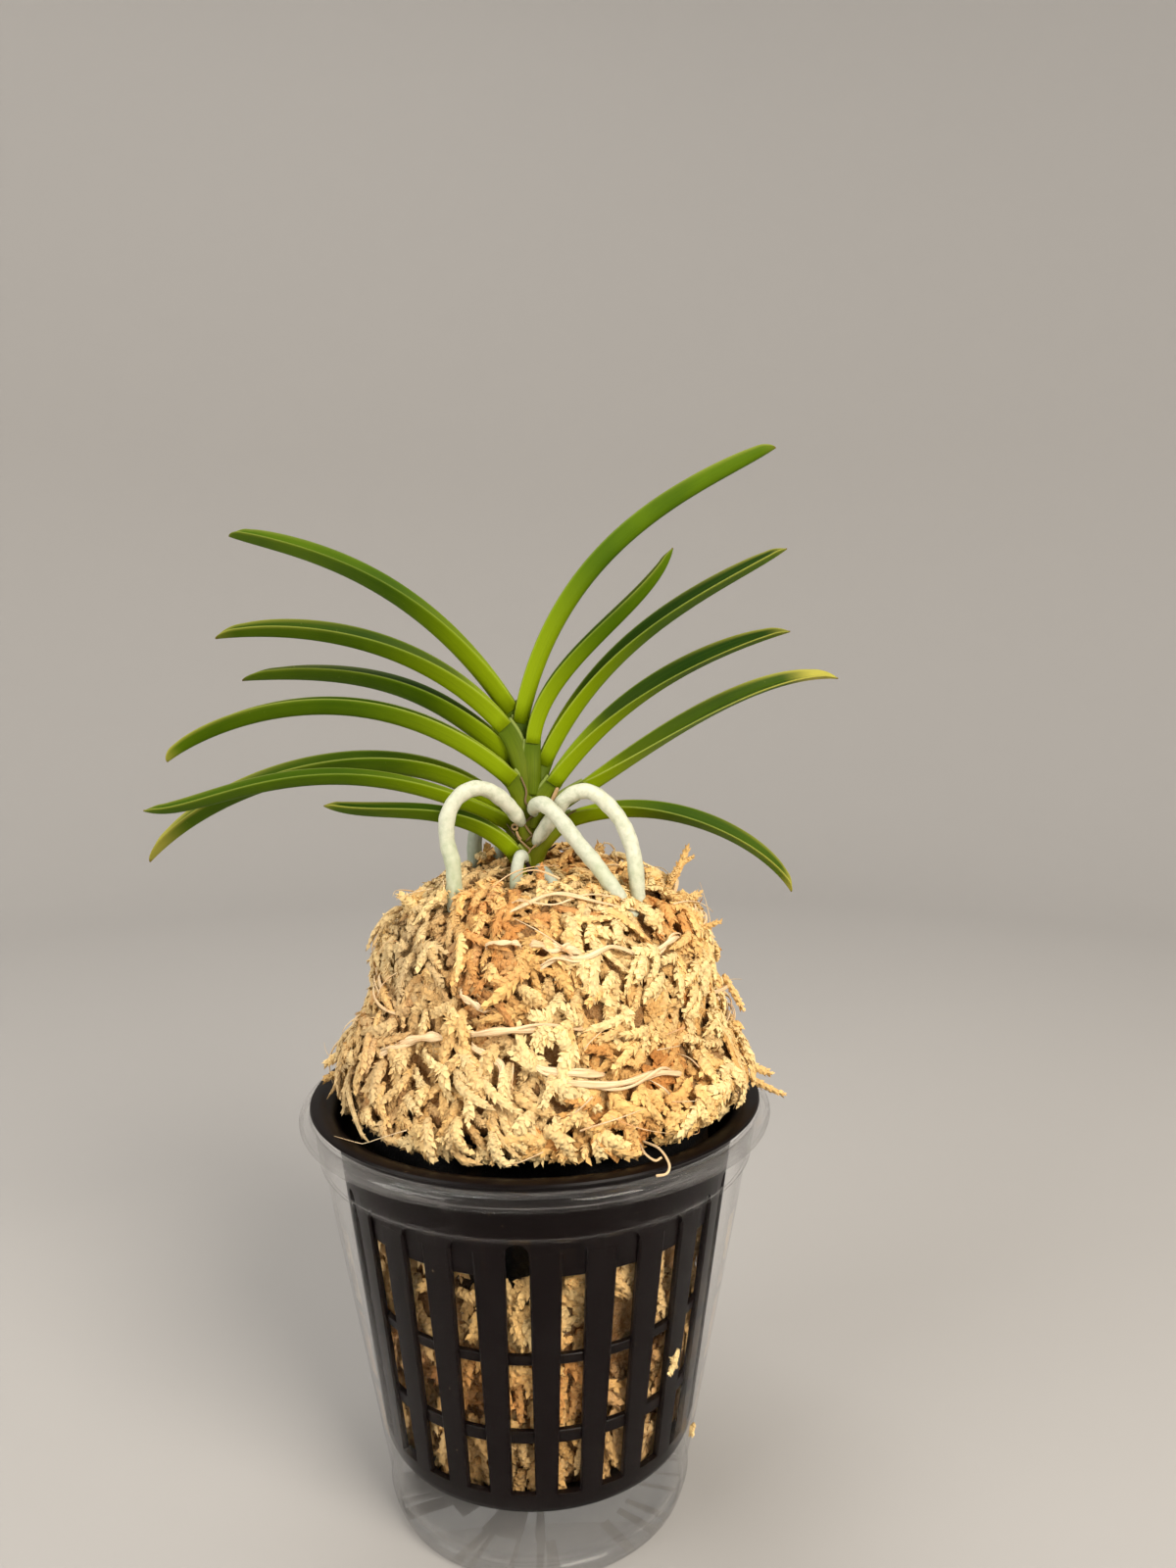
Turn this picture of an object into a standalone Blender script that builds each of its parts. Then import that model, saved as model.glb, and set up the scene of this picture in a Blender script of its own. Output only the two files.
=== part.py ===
"""Potted wind orchid: a two-ranked fan of folded strap leaves on a short sheathed stem, with thick aerial roots,
on a wound mound of dried moss. The moss fills a slotted net pot, which hangs by its lip on the rim of a clear cup.

Metres, +Z up. The origin is the middle of the cup's flat foot. +X is to the right of the fan, -Y is its front.
"""

import math
import random

import bmesh
import bpy
import numpy as np
from mathutils import Vector

MM = 0.001
GAP = 0.3

# Driving dimensions in millimetres and degrees.

CUP_HEIGHT = 81.2
CUP_WALL = 0.6
CUP_FOOT_RADIUS = 29.7
CUP_SHOULDER_RADIUS = 43.7
CUP_SHOULDER_Z = 78.0
CUP_BEAD_RADIUS = 46.5
CUP_STACK_STEP_Z = 71.7
CUP_STACK_STEP = 0.6
CUP_FLOOR = 1.0
CUP_FOOT_HEIGHT = 4.0
CUP_FOOT_LEDGE = 1.6
CUP_STEPS = 40

POT_WALL = 1.2
POT_BOTTOM_Z = 14.6
POT_BOTTOM_RADIUS = 31.2
POT_NECK_Z = 75.0
POT_NECK_RADIUS = 39.1
POT_LIP_OUTSIDE = ((44.4, 81.9), (44.0, 81.5), (42.4, 81.3), (40.2, 79.4))
POT_LIP_INSIDE = ((39.2, 80.2), (42.2, 82.3), (43.8, 82.4))
POT_STEPS = 48
SLOT_COUNT = 24
SLOT_WIDTH = 4.2
SLOT_BOTTOM_Z = 18.4
SLOT_TOP_Z = 69.0
SLOT_CUT_SPAN = (27.0, 43.0)
SLOT_TURN = 5.65
FRONT_SLOT_AZIMUTH = 264.4
FRONT_WINDOW_BOTTOM_Z = 60.0
HOOP_INSET = 0.8
HOOP_DEPTH = 1.0
HOOP_STEPS = 24
HOOP_BANDS = ((28.9, 31.4), (44.9, 46.8), (62.1, 70.2))
FLOOR_SLOTS = 8
FLOOR_SLOT_WIDTH = 3.0
FLOOR_SLOT_SPAN = (11.0, 27.0)
FLOOR_SLOT_HEIGHTS = (12.6, 18.0)

MOSS_SIDES = 28
MOSS_CENTRE_X = 2.6
MOSS_FILL_CLEARANCE = 2.4
MOSS_FILL_HEIGHTS = (16.4, 62.0)
MOSS_MOUND = (
    (35.4, 70.0), (36.6, 78.0), (36.8, 82.4), (38.2, 86.0), (38.4, 90.0), (37.0, 94.5), (35.0, 98.0), (33.8, 101.0),
    (33.2, 105.0), (32.0, 110.0), (30.4, 115.0), (27.0, 119.0), (22.6, 122.4), (16.0, 124.4), (9.0, 125.0),
)
MOSS_WAVES = ((3, 0.11, 0.030), (5, -0.23, 0.025), (9, 0.0, 0.015))
MOSS_FREE_Z = 82.0
MOSS_FREE_RISE = 8.0
STRAND_COUNT = 150
STRAND_LENGTH = (9.5, 13.5)
STRAND_RADIUS = 2.7
STRAND_LOWEST_Z = 83.4
STRAY_STRANDS = (
    ((29.0, 0.0, 121.0), (31.0, 0.0, 131.3), 1.3),
    ((43.0, -1.0, 84.6), (49.0, -2.0, 83.2), 1.5),
    ((-36.0, 1.0, 86.5), (-42.5, 0.0, 85.0), 1.5),
)

STEM_X = -1.0
STEM_BASE_Z = 119.0
STEM_TOP_Z = 150.0
STEM_RADIUS = (2.6, 1.5)
STEM_HOLE_RADIUS = 5.4
SHEATH_FOOT_REACH = 2.0
SHEATH_WIDTH = 4.4

LEAF_THICKNESS = (1.1, 0.75)
LEAF_FOLD = 11.0
FOLD_CLEARANCE = 0.08
LEAF_STATIONS = 12
SHEATH_STATIONS = 4

# Each leaf, from the youngest of its rank down: the joint where the blade meets its sheath (x, z), the tip (x, z),
# the direction that the keel takes at the joint and at the tip, as degrees up from +X, the pull of each direction on
# the curve, the depth (y) of joint and tip, the width of half the blade, how far the near and the far half open from
# the fold at mid length, in degrees, the height on the stem where the sheath starts, and the power that shapes the
# tip, higher for a blunter one.
LEAVES = {
    "leaf_left_1": ((-6.4, 157.4), (-58.3, 191.4), 124, 159, (1.63, 0.50), (1.8, 4), 4.4, (65, 23), 143.0, 10),
    "leaf_left_2": ((-7.2, 153.7), (-59.0, 171.4), 132, 186, (1.13, 0.99), (-1.2, -5), 4.2, (60, 13), 139.0, 9),
    "leaf_left_3": ((-5.8, 147.0), (-57.2, 163.6), 138, 183, (0.99, 1.54), (1.0, 6), 4.7, (55, 38), 135.5, 10),
    "leaf_left_4": ((-6.0, 143.6), (-68.4, 148.5), 139, 218, (1.65, 0.51), (-1.8, -6), 4.2, (49, 40), 132.0, 8),
    "leaf_left_5": ((-8.7, 137.2), (-77.6, 127.2), 137, 225, (0.92, 1.09), (3.7, 9), 4.6, (52, 14), 128.5, 8),
    "leaf_left_6": ((-6.0, 134.3), (-74.0, 139.1), 152, 158, (1.86, 0.50), (0.3, -4), 3.4, (58, 23), 126.0, 6),
    "leaf_left_7": ((-5.4, 129.4), (-39.4, 140.1), 132, 148, (1.25, 0.75), (-3.4, -8), 3.8, (59, 46), 123.5, 7),
    "leaf_right_1": ((-0.6, 156.0), (48.4, 208.6), 77, 34, (1.52, 0.62), (1.0, 4), 3.8, (15, 25), 145.0, 10),
    "leaf_right_2": ((1.5, 151.6), (27.1, 188.3), 83, 79, (1.02, 0.79), (-1.3, -4), 3.5, (45, 29), 141.0, 5),
    "leaf_right_3": ((3.8, 147.1), (50.6, 188.9), 65, 36, (1.37, 0.62), (0.6, 3), 3.8, (73, 23), 137.5, 6),
    "leaf_right_4": ((5.5, 142.9), (49.5, 172.3), 54, 17, (1.19, 0.91), (-1.6, -5), 3.8, (82, 21), 134.5, 7),
    "leaf_right_5": ((11.1, 140.9), (62.3, 163.3), 29, -4, (0.53, 1.00), (2, 7), 3.5, (86, 11), 131.0, 7),
    "leaf_right_6": ((8.2, 134.8), (49.7, 122.2), 18, 301, (1.21, 0.76), (-1, -7), 3.7, (76, 30), 126.0, 8),
}

# Each aerial root: its radius and the points of its centre line, from the stem to its end inside the moss.
ROOTS = {
    "root_front_left_arch": (1.5, (
        (-2.4, -1.6, 134.4), (-2.9, -3.6, 136.2), (-5.2, -5.4, 140.0), (-8.3, -7.2, 142.6), (-11.2, -8.6, 143.2),
        (-14.2, -9.6, 141.6), (-16.1, -10.2, 138.1), (-16.2, -10.6, 133.4), (-15.2, -10.9, 129.3),
        (-15.0, -11.0, 124.0), (-15.0, -11.0, 119.5))),
    "root_front_right_arch": (1.5, (
        (0.2, -1.6, 131.4), (1.1, -3.1, 133.2), (4.1, -4.2, 137.6), (6.0, -5.4, 140.6), (8.8, -6.6, 142.2),
        (11.3, -7.6, 142.0), (14.1, -8.6, 139.8), (16.7, -9.6, 136.4), (18.4, -10.6, 132.0), (19.1, -11.4, 127.6),
        (19.4, -12.0, 122.0), (19.4, -12.2, 117.5))),
    "root_front_diagonal": (1.5, (
        (0.2, -1.8, 137.4), (-0.1, -3.6, 138.6), (0.6, -5.4, 139.6), (2.1, -7.2, 139.8), (4.7, -9.0, 137.5),
        (8.4, -11.0, 132.8), (11.9, -13.0, 128.6), (15.0, -14.8, 124.2), (18.0, -16.4, 119.6))),
    "root_back_left": (1.5, (
        (-1.8, 1.4, 132.0), (-4.0, 4.2, 134.6), (-7.2, 6.6, 136.6), (-10.2, 8.2, 135.6), (-11.9, 9.2, 132.4),
        (-12.3, 9.7, 128.2), (-12.4, 10.0, 123.6), (-12.4, 10.0, 119.5))),
    "root_back_small": (1.1, (
        (-1.8, 1.2, 128.4), (-3.4, 4.2, 130.4), (-5.4, 7.2, 131.2), (-6.9, 9.0, 129.4), (-7.5, 10.0, 126.0),
        (-7.6, 10.2, 120.5))),
    "root_stub": (1.2, (
        (-1.5, -2.4, 128.2), (-2.4, -5.8, 129.8), (-3.0, -7.6, 129.2), (-3.4, -8.4, 126.4), (-3.6, -8.8, 120.5))),
    "root_low_right": (1.2, (
        (0.2, -1.8, 125.4), (0.9, -3.8, 126.6), (1.6, -5.8, 126.9), (3.5, -7.8, 124.6), (5.6, -9.6, 120.6))),
}

CLEAR_PLASTIC = ("clear_plastic", (0.86, 0.88, 0.87), 0.08)
BLACK_PLASTIC = ("black_plastic", (0.015, 0.014, 0.016), 0.35)
DRIED_MOSS = ("dried_moss", (0.72, 0.55, 0.30), 0.95)
LEAF_GREEN = ("leaf_green", (0.10, 0.24, 0.03), 0.42)
SHEATH_GREEN = ("sheath_green", (0.20, 0.36, 0.05), 0.45)
ROOT_SILVER = ("root_silver", (0.62, 0.66, 0.56), 0.7)


# Scene and object helpers.


def clear_scene():
    for obj in list(bpy.data.objects):
        bpy.data.objects.remove(obj, do_unlink=True)


def new_collection(name, helper=False):
    collection = bpy.data.collections.new(name)
    bpy.context.scene.collection.children.link(collection)
    collection.hide_render = helper
    return collection


def material(finish):
    name, colour, roughness = finish
    made = bpy.data.materials.get(name)
    if made:
        return made
    made = bpy.data.materials.new(name)
    made.use_nodes = True
    shader = made.node_tree.nodes["Principled BSDF"]
    shader.inputs["Base Color"].default_value = (*colour, 1.0)
    shader.inputs["Roughness"].default_value = roughness
    shader.inputs["Metallic"].default_value = 0.0
    made.diffuse_color = (*colour, 1.0)
    return made


def add_object(name, data, collection, finish=None):
    obj = bpy.data.objects.new(name, data)
    collection.objects.link(obj)
    if finish:
        data.materials.append(material(finish))
    return obj


def add_cutter(name, data):
    obj = add_object(name, data, cutters)
    obj.hide_render = True
    obj.display_type = "WIRE"
    return obj


def realise(obj, weld=True):
    """Replaces an object by the mesh that its curve or its modifiers make, in world space."""
    graph = bpy.context.evaluated_depsgraph_get()
    mesh = bpy.data.meshes.new_from_object(obj.evaluated_get(graph), depsgraph=graph)
    mesh.transform(obj.matrix_world)
    work = bmesh.new()
    work.from_mesh(mesh)
    if weld:
        bmesh.ops.remove_doubles(work, verts=work.verts, dist=1e-6)
        bmesh.ops.recalc_face_normals(work, faces=work.faces)
    work.to_mesh(mesh)
    work.free()
    name, collection = obj.name, obj.users_collection[0]
    hidden = obj.hide_render
    bpy.data.objects.remove(obj, do_unlink=True)
    made = bpy.data.objects.new(name, mesh)
    collection.objects.link(made)
    made.hide_render = hidden
    return made


def triangulate(obj):
    """Splits the faces into triangles, which stay flat where a loft's four-sided faces are bent."""
    work = bmesh.new()
    work.from_mesh(obj.data)
    bmesh.ops.triangulate(work, faces=work.faces)
    work.to_mesh(obj.data)
    work.free()


def boolean(obj, others, operation, solver="EXACT"):
    """Joins the objects to obj, or cuts them from it, applies that and removes them."""
    group = new_collection(obj.name + "_operands", helper=True)
    if solver == "MANIFOLD":
        for operand in [obj, *others]:
            triangulate(operand)
    for other in others:
        group.objects.link(other)
    modifier = obj.modifiers.new(operation.lower(), "BOOLEAN")
    modifier.operation = operation
    modifier.operand_type = "COLLECTION"
    modifier.collection = group
    modifier.solver = solver
    bpy.context.view_layer.update()
    made = realise(obj, weld=False)
    for other in others:
        bpy.data.objects.remove(other, do_unlink=True)
    bpy.data.collections.remove(group)
    return made


def drop_scraps(obj):
    """Keeps the largest connected skin: loose scraps are dropped and sealed hollows filled."""
    work = bmesh.new()
    work.from_mesh(obj.data)
    left = set(work.faces)
    skins = []
    while left:
        skin, waiting = set(), [left.pop()]
        while waiting:
            face = waiting.pop()
            skin.add(face)
            for edge in face.edges:
                for other in edge.link_faces:
                    if other in left:
                        left.discard(other)
                        waiting.append(other)
        skins.append(skin)
    largest = max(skins, key=len)
    bmesh.ops.delete(work, geom=[face for face in work.faces if face not in largest], context="FACES")
    work.to_mesh(obj.data)
    work.free()


def shade_smooth(obj, angle=35.0):
    obj.data.shade_smooth()
    obj.data.set_sharp_from_angle(angle=math.radians(angle))


# Shape helpers. Points are in millimetres.


def turned(name, profile, steps, collection, finish=None, closed=False):
    """A profile of (radius, height) points, turned round Z. At +X it runs down the outer side."""
    mesh = bpy.data.meshes.new(name)
    points = [(radius * MM, 0.0, height * MM) for radius, height in profile]
    edges = [(i, i + 1) for i in range(len(points) - 1)]
    if closed:
        edges.append((len(points) - 1, 0))
    mesh.from_pydata(points, edges, [])
    obj = add_object(name, mesh, collection, finish)
    screw = obj.modifiers.new("turn", "SCREW")
    screw.axis = "Z"
    screw.steps = steps
    screw.render_steps = steps
    screw.use_merge_vertices = True
    screw.merge_threshold = 0.00001
    return obj


def loft_mesh(name, rings):
    """A closed skin over rings of points, each ring with the same number, with a flat cap at both ends."""
    count, sides = rings.shape[:2]
    faces = []
    for i in range(count - 1):
        for j in range(sides):
            k = (j + 1) % sides
            faces.append((i * sides + j, i * sides + k, (i + 1) * sides + k, (i + 1) * sides + j))
    faces.append(tuple(range(sides))[::-1])
    faces.append(tuple(range((count - 1) * sides, count * sides)))
    mesh = bpy.data.meshes.new(name)
    mesh.from_pydata((rings.reshape(-1, 3) * MM).tolist(), [], faces)
    work = bmesh.new()
    work.from_mesh(mesh)
    bmesh.ops.recalc_face_normals(work, faces=work.faces)
    work.to_mesh(mesh)
    work.free()
    return mesh


def bent_loft_mesh(name, rings):
    """A loft with each bent face split along the same diagonal, so that a blade and the room cut for it agree."""
    mesh = loft_mesh(name, rings)
    work = bmesh.new()
    work.from_mesh(mesh)
    bmesh.ops.triangulate(work, faces=work.faces, quad_method="FIXED")
    work.to_mesh(mesh)
    work.free()
    return mesh


def direction(degrees):
    return np.array([math.cos(math.radians(degrees)), math.sin(math.radians(degrees))])


def hermite(start, end, start_pull, end_pull, t):
    """The cubic through start and end that leaves and arrives along the two pulls."""
    t = t[:, None]
    return (
        (2 * t**3 - 3 * t**2 + 1) * start
        + (t**3 - 2 * t**2 + t) * start_pull
        + (3 * t**2 - 2 * t**3) * end
        + (t**3 - t**2) * end_pull
    )


def smooth_path(points, per_span):
    """Points on the smooth curve (Catmull-Rom) through the given points."""
    given = np.array(points, float)
    padded = np.vstack([2 * given[0] - given[1], given, 2 * given[-1] - given[-2]])
    t = np.linspace(0.0, 1.0, per_span, endpoint=False)
    spans = [
        hermite(padded[i], padded[i + 1], (padded[i + 1] - padded[i - 1]) / 2, (padded[i + 2] - padded[i]) / 2, t)
        for i in range(1, len(given))
    ]
    return np.vstack([*spans, given[-1:]])


def tube(name, points, radius, collection, finish=None):
    curve = bpy.data.curves.new(name, "CURVE")
    curve.dimensions = "3D"
    curve.bevel_depth = radius * MM
    curve.bevel_resolution = 2
    curve.use_fill_caps = True
    spline = curve.splines.new("POLY")
    spline.points.add(len(points) - 1)
    for knot, (x, y, z) in zip(spline.points, points):
        knot.co = (x * MM, y * MM, z * MM, 1.0)
    return add_object(name, curve, collection, finish)


# The clear cup and the slotted net pot.


def cup_radius(z):
    """The outer radius of the cup's wall."""
    return CUP_FOOT_RADIUS + (CUP_SHOULDER_RADIUS - CUP_FOOT_RADIUS) * z / CUP_SHOULDER_Z


def pot_radius(z):
    """The outer radius of the net pot's wall."""
    share = (z - POT_BOTTOM_Z) / (POT_NECK_Z - POT_BOTTOM_Z)
    return POT_BOTTOM_RADIUS + (POT_NECK_RADIUS - POT_BOTTOM_RADIUS) * share


def arc(centre, radius, start, end, count):
    """Points on an arc, as (radius, height), from one angle in degrees to another."""
    angles = np.radians(np.linspace(start, end, count))
    return [(centre[0] + radius * math.cos(a), centre[1] + radius * math.sin(a)) for a in angles]


def build_cup():
    """A tapered wall with a stacking step, a rolled bead at the rim and a thick foot with a flat underside."""
    bead = (CUP_BEAD_RADIUS - CUP_SHOULDER_RADIUS + CUP_WALL) / 2
    bead_centre = (CUP_BEAD_RADIUS - bead, CUP_HEIGHT - bead)
    step = CUP_STACK_STEP / 2
    inner_top = cup_radius(CUP_SHOULDER_Z) - CUP_WALL
    inner = [
        (0.0, CUP_FLOOR),
        (cup_radius(0) - CUP_WALL - CUP_FOOT_LEDGE, CUP_FLOOR),
        (cup_radius(CUP_FOOT_HEIGHT) - CUP_WALL - 0.5, CUP_FOOT_HEIGHT - 0.4),
        (cup_radius(CUP_FOOT_HEIGHT) - CUP_WALL, CUP_FOOT_HEIGHT),
        (cup_radius(CUP_STACK_STEP_Z - 0.5) - CUP_WALL - step, CUP_STACK_STEP_Z - 0.5),
        (cup_radius(CUP_STACK_STEP_Z + 0.5) - CUP_WALL + step, CUP_STACK_STEP_Z + 0.5),
        (inner_top, CUP_SHOULDER_Z),
    ]
    over = arc(bead_centre, bead, 180.0, -35.0, 7)
    under = arc(bead_centre, bead - CUP_WALL, -35.0, 180.0, 4)
    outer = [
        (cup_radius(CUP_SHOULDER_Z), CUP_SHOULDER_Z),
        (cup_radius(CUP_STACK_STEP_Z + 0.5) + step, CUP_STACK_STEP_Z + 0.5),
        (cup_radius(CUP_STACK_STEP_Z - 0.5) - step, CUP_STACK_STEP_Z - 0.5),
        (cup_radius(CUP_FOOT_HEIGHT + 0.5), CUP_FOOT_HEIGHT + 0.5),
        (cup_radius(CUP_FOOT_HEIGHT), CUP_FOOT_HEIGHT),
        *arc((cup_radius(0) - 1.4, 1.4), 1.4, 0.0, -90.0, 3),
        (0.0, 0.0),
    ]
    obj = turned("cup", inner + over + under + outer, CUP_STEPS, parts, CLEAR_PLASTIC)
    obj = realise(obj)
    shade_smooth(obj)


def slot_outline(width, bottom, top, end_points=4):
    """An upright slot with a flat foot and a rounded head, as (across, up) points."""
    half = width / 2
    head = arc((0.0, top - half), half, 0.0, 180.0, end_points)
    return [(-half, bottom), (half, bottom), *head]


def slot_cutter(name, outline, near, far, turn):
    """An outline, standing square to a radius of the pot, carried outward from near to far."""
    flat = np.array(outline)
    rings = np.array([[(reach, across, up) for across, up in flat] for reach in (near, far)])
    angle = math.radians(turn)
    spin = np.array([[math.cos(angle), math.sin(angle), 0], [-math.sin(angle), math.cos(angle), 0], [0, 0, 1]])
    return add_cutter(name, loft_mesh(name, rings @ spin))


def build_net_pot():
    """A tapered basket: a flared lip, a plain neck, a wall of slots between bars, hoops behind the bars and a floor."""
    floor_top = POT_BOTTOM_Z + POT_WALL
    outside = [
        *POT_LIP_OUTSIDE,
        (POT_NECK_RADIUS, POT_NECK_Z),
        (pot_radius(POT_BOTTOM_Z + 1.0), POT_BOTTOM_Z + 1.0),
        (POT_BOTTOM_RADIUS - 0.9, POT_BOTTOM_Z),
        (0.0, POT_BOTTOM_Z),
    ]
    inside = [
        (0.0, floor_top),
        (pot_radius(floor_top) - POT_WALL, floor_top),
        (POT_NECK_RADIUS - POT_WALL, POT_NECK_Z),
        *POT_LIP_INSIDE,
    ]
    pot = realise(turned("net_pot", inside + outside, POT_STEPS, parts, BLACK_PLASTIC))
    pitch = 360.0 / SLOT_COUNT
    first = 360.0 / POT_STEPS / 2
    outline = slot_outline(SLOT_WIDTH, SLOT_BOTTOM_Z, SLOT_TOP_Z)
    slots = [slot_cutter(f"slot_{i}", outline, *SLOT_CUT_SPAN, first + i * pitch) for i in range(SLOT_COUNT)]
    half = FLOOR_SLOT_WIDTH / 2
    low, high = FLOOR_SLOT_HEIGHTS
    floor_outline = [(-half, low), (half, low), (half, high), (-half, high)]
    slots += [
        slot_cutter(f"floor_slot_{i}", floor_outline, *FLOOR_SLOT_SPAN, i * 360.0 / FLOOR_SLOTS)
        for i in range(FLOOR_SLOTS)
    ]
    pot = boolean(pot, slots, "DIFFERENCE")
    hoops = []
    for low, high in HOOP_BANDS:
        rim = [
            (pot_radius(z) - HOOP_INSET - depth, z)
            for z, depth in ((high, 0.0), (low, 0.0), (low, HOOP_DEPTH), (high, HOOP_DEPTH))
        ]
        hoops.append(realise(turned(f"hoop_{low:.0f}", rim, HOOP_STEPS, cutters, closed=True)))
    front = first + round((FRONT_SLOT_AZIMUTH - SLOT_TURN - first) / pitch) * pitch
    window_outline = slot_outline(SLOT_WIDTH, FRONT_WINDOW_BOTTOM_Z, SLOT_TOP_Z)
    window = slot_cutter("front_window", window_outline, *SLOT_CUT_SPAN, front)
    hoops[-1] = boolean(hoops[-1], [window], "DIFFERENCE")
    pot = boolean(pot, hoops, "UNION")
    pot.rotation_euler = (0.0, 0.0, math.radians(SLOT_TURN))
    shade_smooth(pot)


# The leaves and their sheaths.


def leaf_curve(name, t):
    """The keel of a blade at t from joint (0) to tip (1), with the unit vector across it, from keel to margin."""
    joint, tip, rise, fall, pulls, depths = LEAVES[name][:6]
    chord = math.dist(joint, tip)
    flat = hermite(
        np.array(joint), np.array(tip), direction(rise) * pulls[0] * chord, direction(fall) * pulls[1] * chord, t
    )
    along = np.gradient(flat, t, axis=0)
    along /= np.linalg.norm(along, axis=1)[:, None]
    side = -1.0 if tip[0] < joint[0] else 1.0
    up = np.stack([-along[:, 1] * side, along[:, 0] * side], axis=1)
    y = depths[0] + (depths[1] - depths[0]) * np.clip(t, 0.0, 1.0) ** 1.5
    keel = np.stack([flat[:, 0], y, flat[:, 1]], axis=1)
    return keel, np.stack([up[:, 0], 0 * y, up[:, 1]], axis=1)


def half_width(name, t):
    """The width of half a blade: narrower at the joint, full at the middle and drawn in at the tip."""
    full, tip_power = LEAVES[name][6], LEAVES[name][9]
    body = 0.78 + 0.22 * np.sin(np.pi * np.clip(t / 0.9, 0, 1)) ** 0.8
    return np.maximum(full * body * (1 - np.clip(t, 0, 1) ** tip_power) ** 0.55, 0.5)


def blade_rings(name, spread=0.0, start=0.0):
    """Six points round the folded section at each station: keel, near margin, valley and far margin."""
    t = np.linspace(0.0, 1.0, LEAF_STATIONS) ** 0.8
    t[0] = start
    keel, up = leaf_curve(name, t)
    toward = np.array([0.0, -1.0, 0.0])
    opening = np.sin(np.pi * np.clip(t, 0, 1) ** 0.7 * 0.62)[:, None]
    near, far = (np.radians(LEAF_FOLD + (full - LEAF_FOLD) * opening) for full in LEAVES[name][7])
    near_way = up * np.cos(near) + toward * np.sin(near)
    far_way = up * np.cos(far) - toward * np.sin(far)
    near_skin = toward * np.cos(near) - up * np.sin(near)
    far_skin = -toward * np.cos(far) - up * np.sin(far)
    middle = near_way + far_way
    middle /= np.linalg.norm(middle, axis=1)[:, None]
    half_thick = (LEAF_THICKNESS[0] + (LEAF_THICKNESS[1] - LEAF_THICKNESS[0]) * t)[:, None] / 2
    keel = keel + middle * half_thick * 1.2
    thick = half_thick + spread
    width = half_width(name, t)[:, None] - half_thick * 0.6 + spread
    half_open = (near + far) / 2
    valley = np.minimum(thick / np.sin(half_open), width * (1.02 if spread else 0.85))
    near_inner = np.maximum(width * np.sin(near) - thick * np.cos(near), FOLD_CLEARANCE)
    far_inner = np.maximum(width * np.sin(far) - thick * np.cos(far), FOLD_CLEARANCE)
    return np.stack(
        [
            keel - middle * thick * 1.2,
            keel + near_way * width + near_skin * thick,
            keel + up * (width * np.cos(near) + thick * np.sin(near)) + toward * near_inner,
            keel + middle * valley,
            keel + up * (width * np.cos(far) + thick * np.sin(far)) - toward * far_inner,
            keel + far_way * width + far_skin * thick,
        ],
        axis=1,
    )


def sheath_rings(name):
    """A folded sheath as a flat lens: six points at each station from the stem up to just below the joint."""
    joint, tip, rise = LEAVES[name][:3]
    depth = LEAVES[name][5][0]
    foot_z = LEAVES[name][8]
    side = -1.0 if tip[0] < joint[0] else 1.0
    foot = np.array([STEM_X + side * SHEATH_FOOT_REACH, foot_z])
    end = np.array(joint) - direction(rise) * GAP
    reach = math.dist(foot, end)
    t = np.linspace(0.0, 1.0, SHEATH_STATIONS)
    flat = hermite(foot, end, direction(90 - side * 8) * reach, direction(rise) * reach, t)
    along = np.gradient(flat, t, axis=0)
    along /= np.linalg.norm(along, axis=1)[:, None]
    keel = np.stack([flat[:, 0], depth * t + side * 0.2 * (1 - t), flat[:, 1]], axis=1)
    up = np.stack([-along[:, 1] * side, 0 * t, along[:, 0] * side], axis=1)
    lower = (STEM_TOP_Z - foot_z) / (STEM_TOP_Z - STEM_BASE_Z)
    joint_width = half_width(name, np.zeros(1))[0]
    width = (SHEATH_WIDTH + (joint_width - SHEATH_WIDTH) * t)[:, None]
    bulge = ((1.9 + 1.2 * lower) * (1 - t) + 1.35 * t)[:, None]
    toward = np.array([0.0, -1.0, 0.0])
    return np.stack(
        [
            keel - up * 0.4,
            keel + up * width * 0.35 + toward * bulge,
            keel + up * width * 0.75 + toward * bulge,
            keel + up * width,
            keel + up * width * 0.75 - toward * bulge,
            keel + up * width * 0.35 - toward * bulge,
        ],
        axis=1,
    )


def build_leaves():
    for name in LEAVES:
        add_object(name, bent_loft_mesh(name, blade_rings(name)), parts, LEAF_GREEN)


def build_stem(root_channels):
    """The short stem with every sheath joined to it, cut clear of the blades and of the roots that leave it."""
    stem = turned(
        "stem",
        [(0.0, STEM_TOP_Z), (STEM_RADIUS[1], STEM_TOP_Z), (STEM_RADIUS[0], STEM_BASE_Z), (0.0, STEM_BASE_Z)],
        12,
        parts,
        SHEATH_GREEN,
    )
    stem.location = (STEM_X * MM, 0.0, 0.0)
    bpy.context.view_layer.update()
    stem = realise(stem)
    sheaths = [add_cutter(name + "_sheath", bent_loft_mesh(name + "_sheath", sheath_rings(name))) for name in LEAVES]
    stem = boolean(stem, sheaths, "UNION", "MANIFOLD")
    blades = [
        add_cutter(name + "_room", bent_loft_mesh(name + "_room", blade_rings(name, GAP, -0.01))) for name in LEAVES
    ]
    stem = boolean(stem, blades + root_channels, "DIFFERENCE", "MANIFOLD")
    drop_scraps(stem)
    shade_smooth(stem, 50.0)


# The aerial roots and the moss.


def root_points(name):
    return smooth_path(ROOTS[name][1], 1)


def root_channel(name, label):
    """A root's tube with room round it and past both its ends, which is cut from what the root grows through."""
    points = root_points(name)
    first = points[0] - points[1]
    last = points[-1] - points[-2]
    points[0] += first / np.linalg.norm(first) * GAP * 1.2
    points[-1] += last / np.linalg.norm(last) * GAP * 1.2
    return realise(tube(f"{name}_{label}", points.tolist(), ROOTS[name][0] + GAP * 1.3, cutters))


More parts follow.
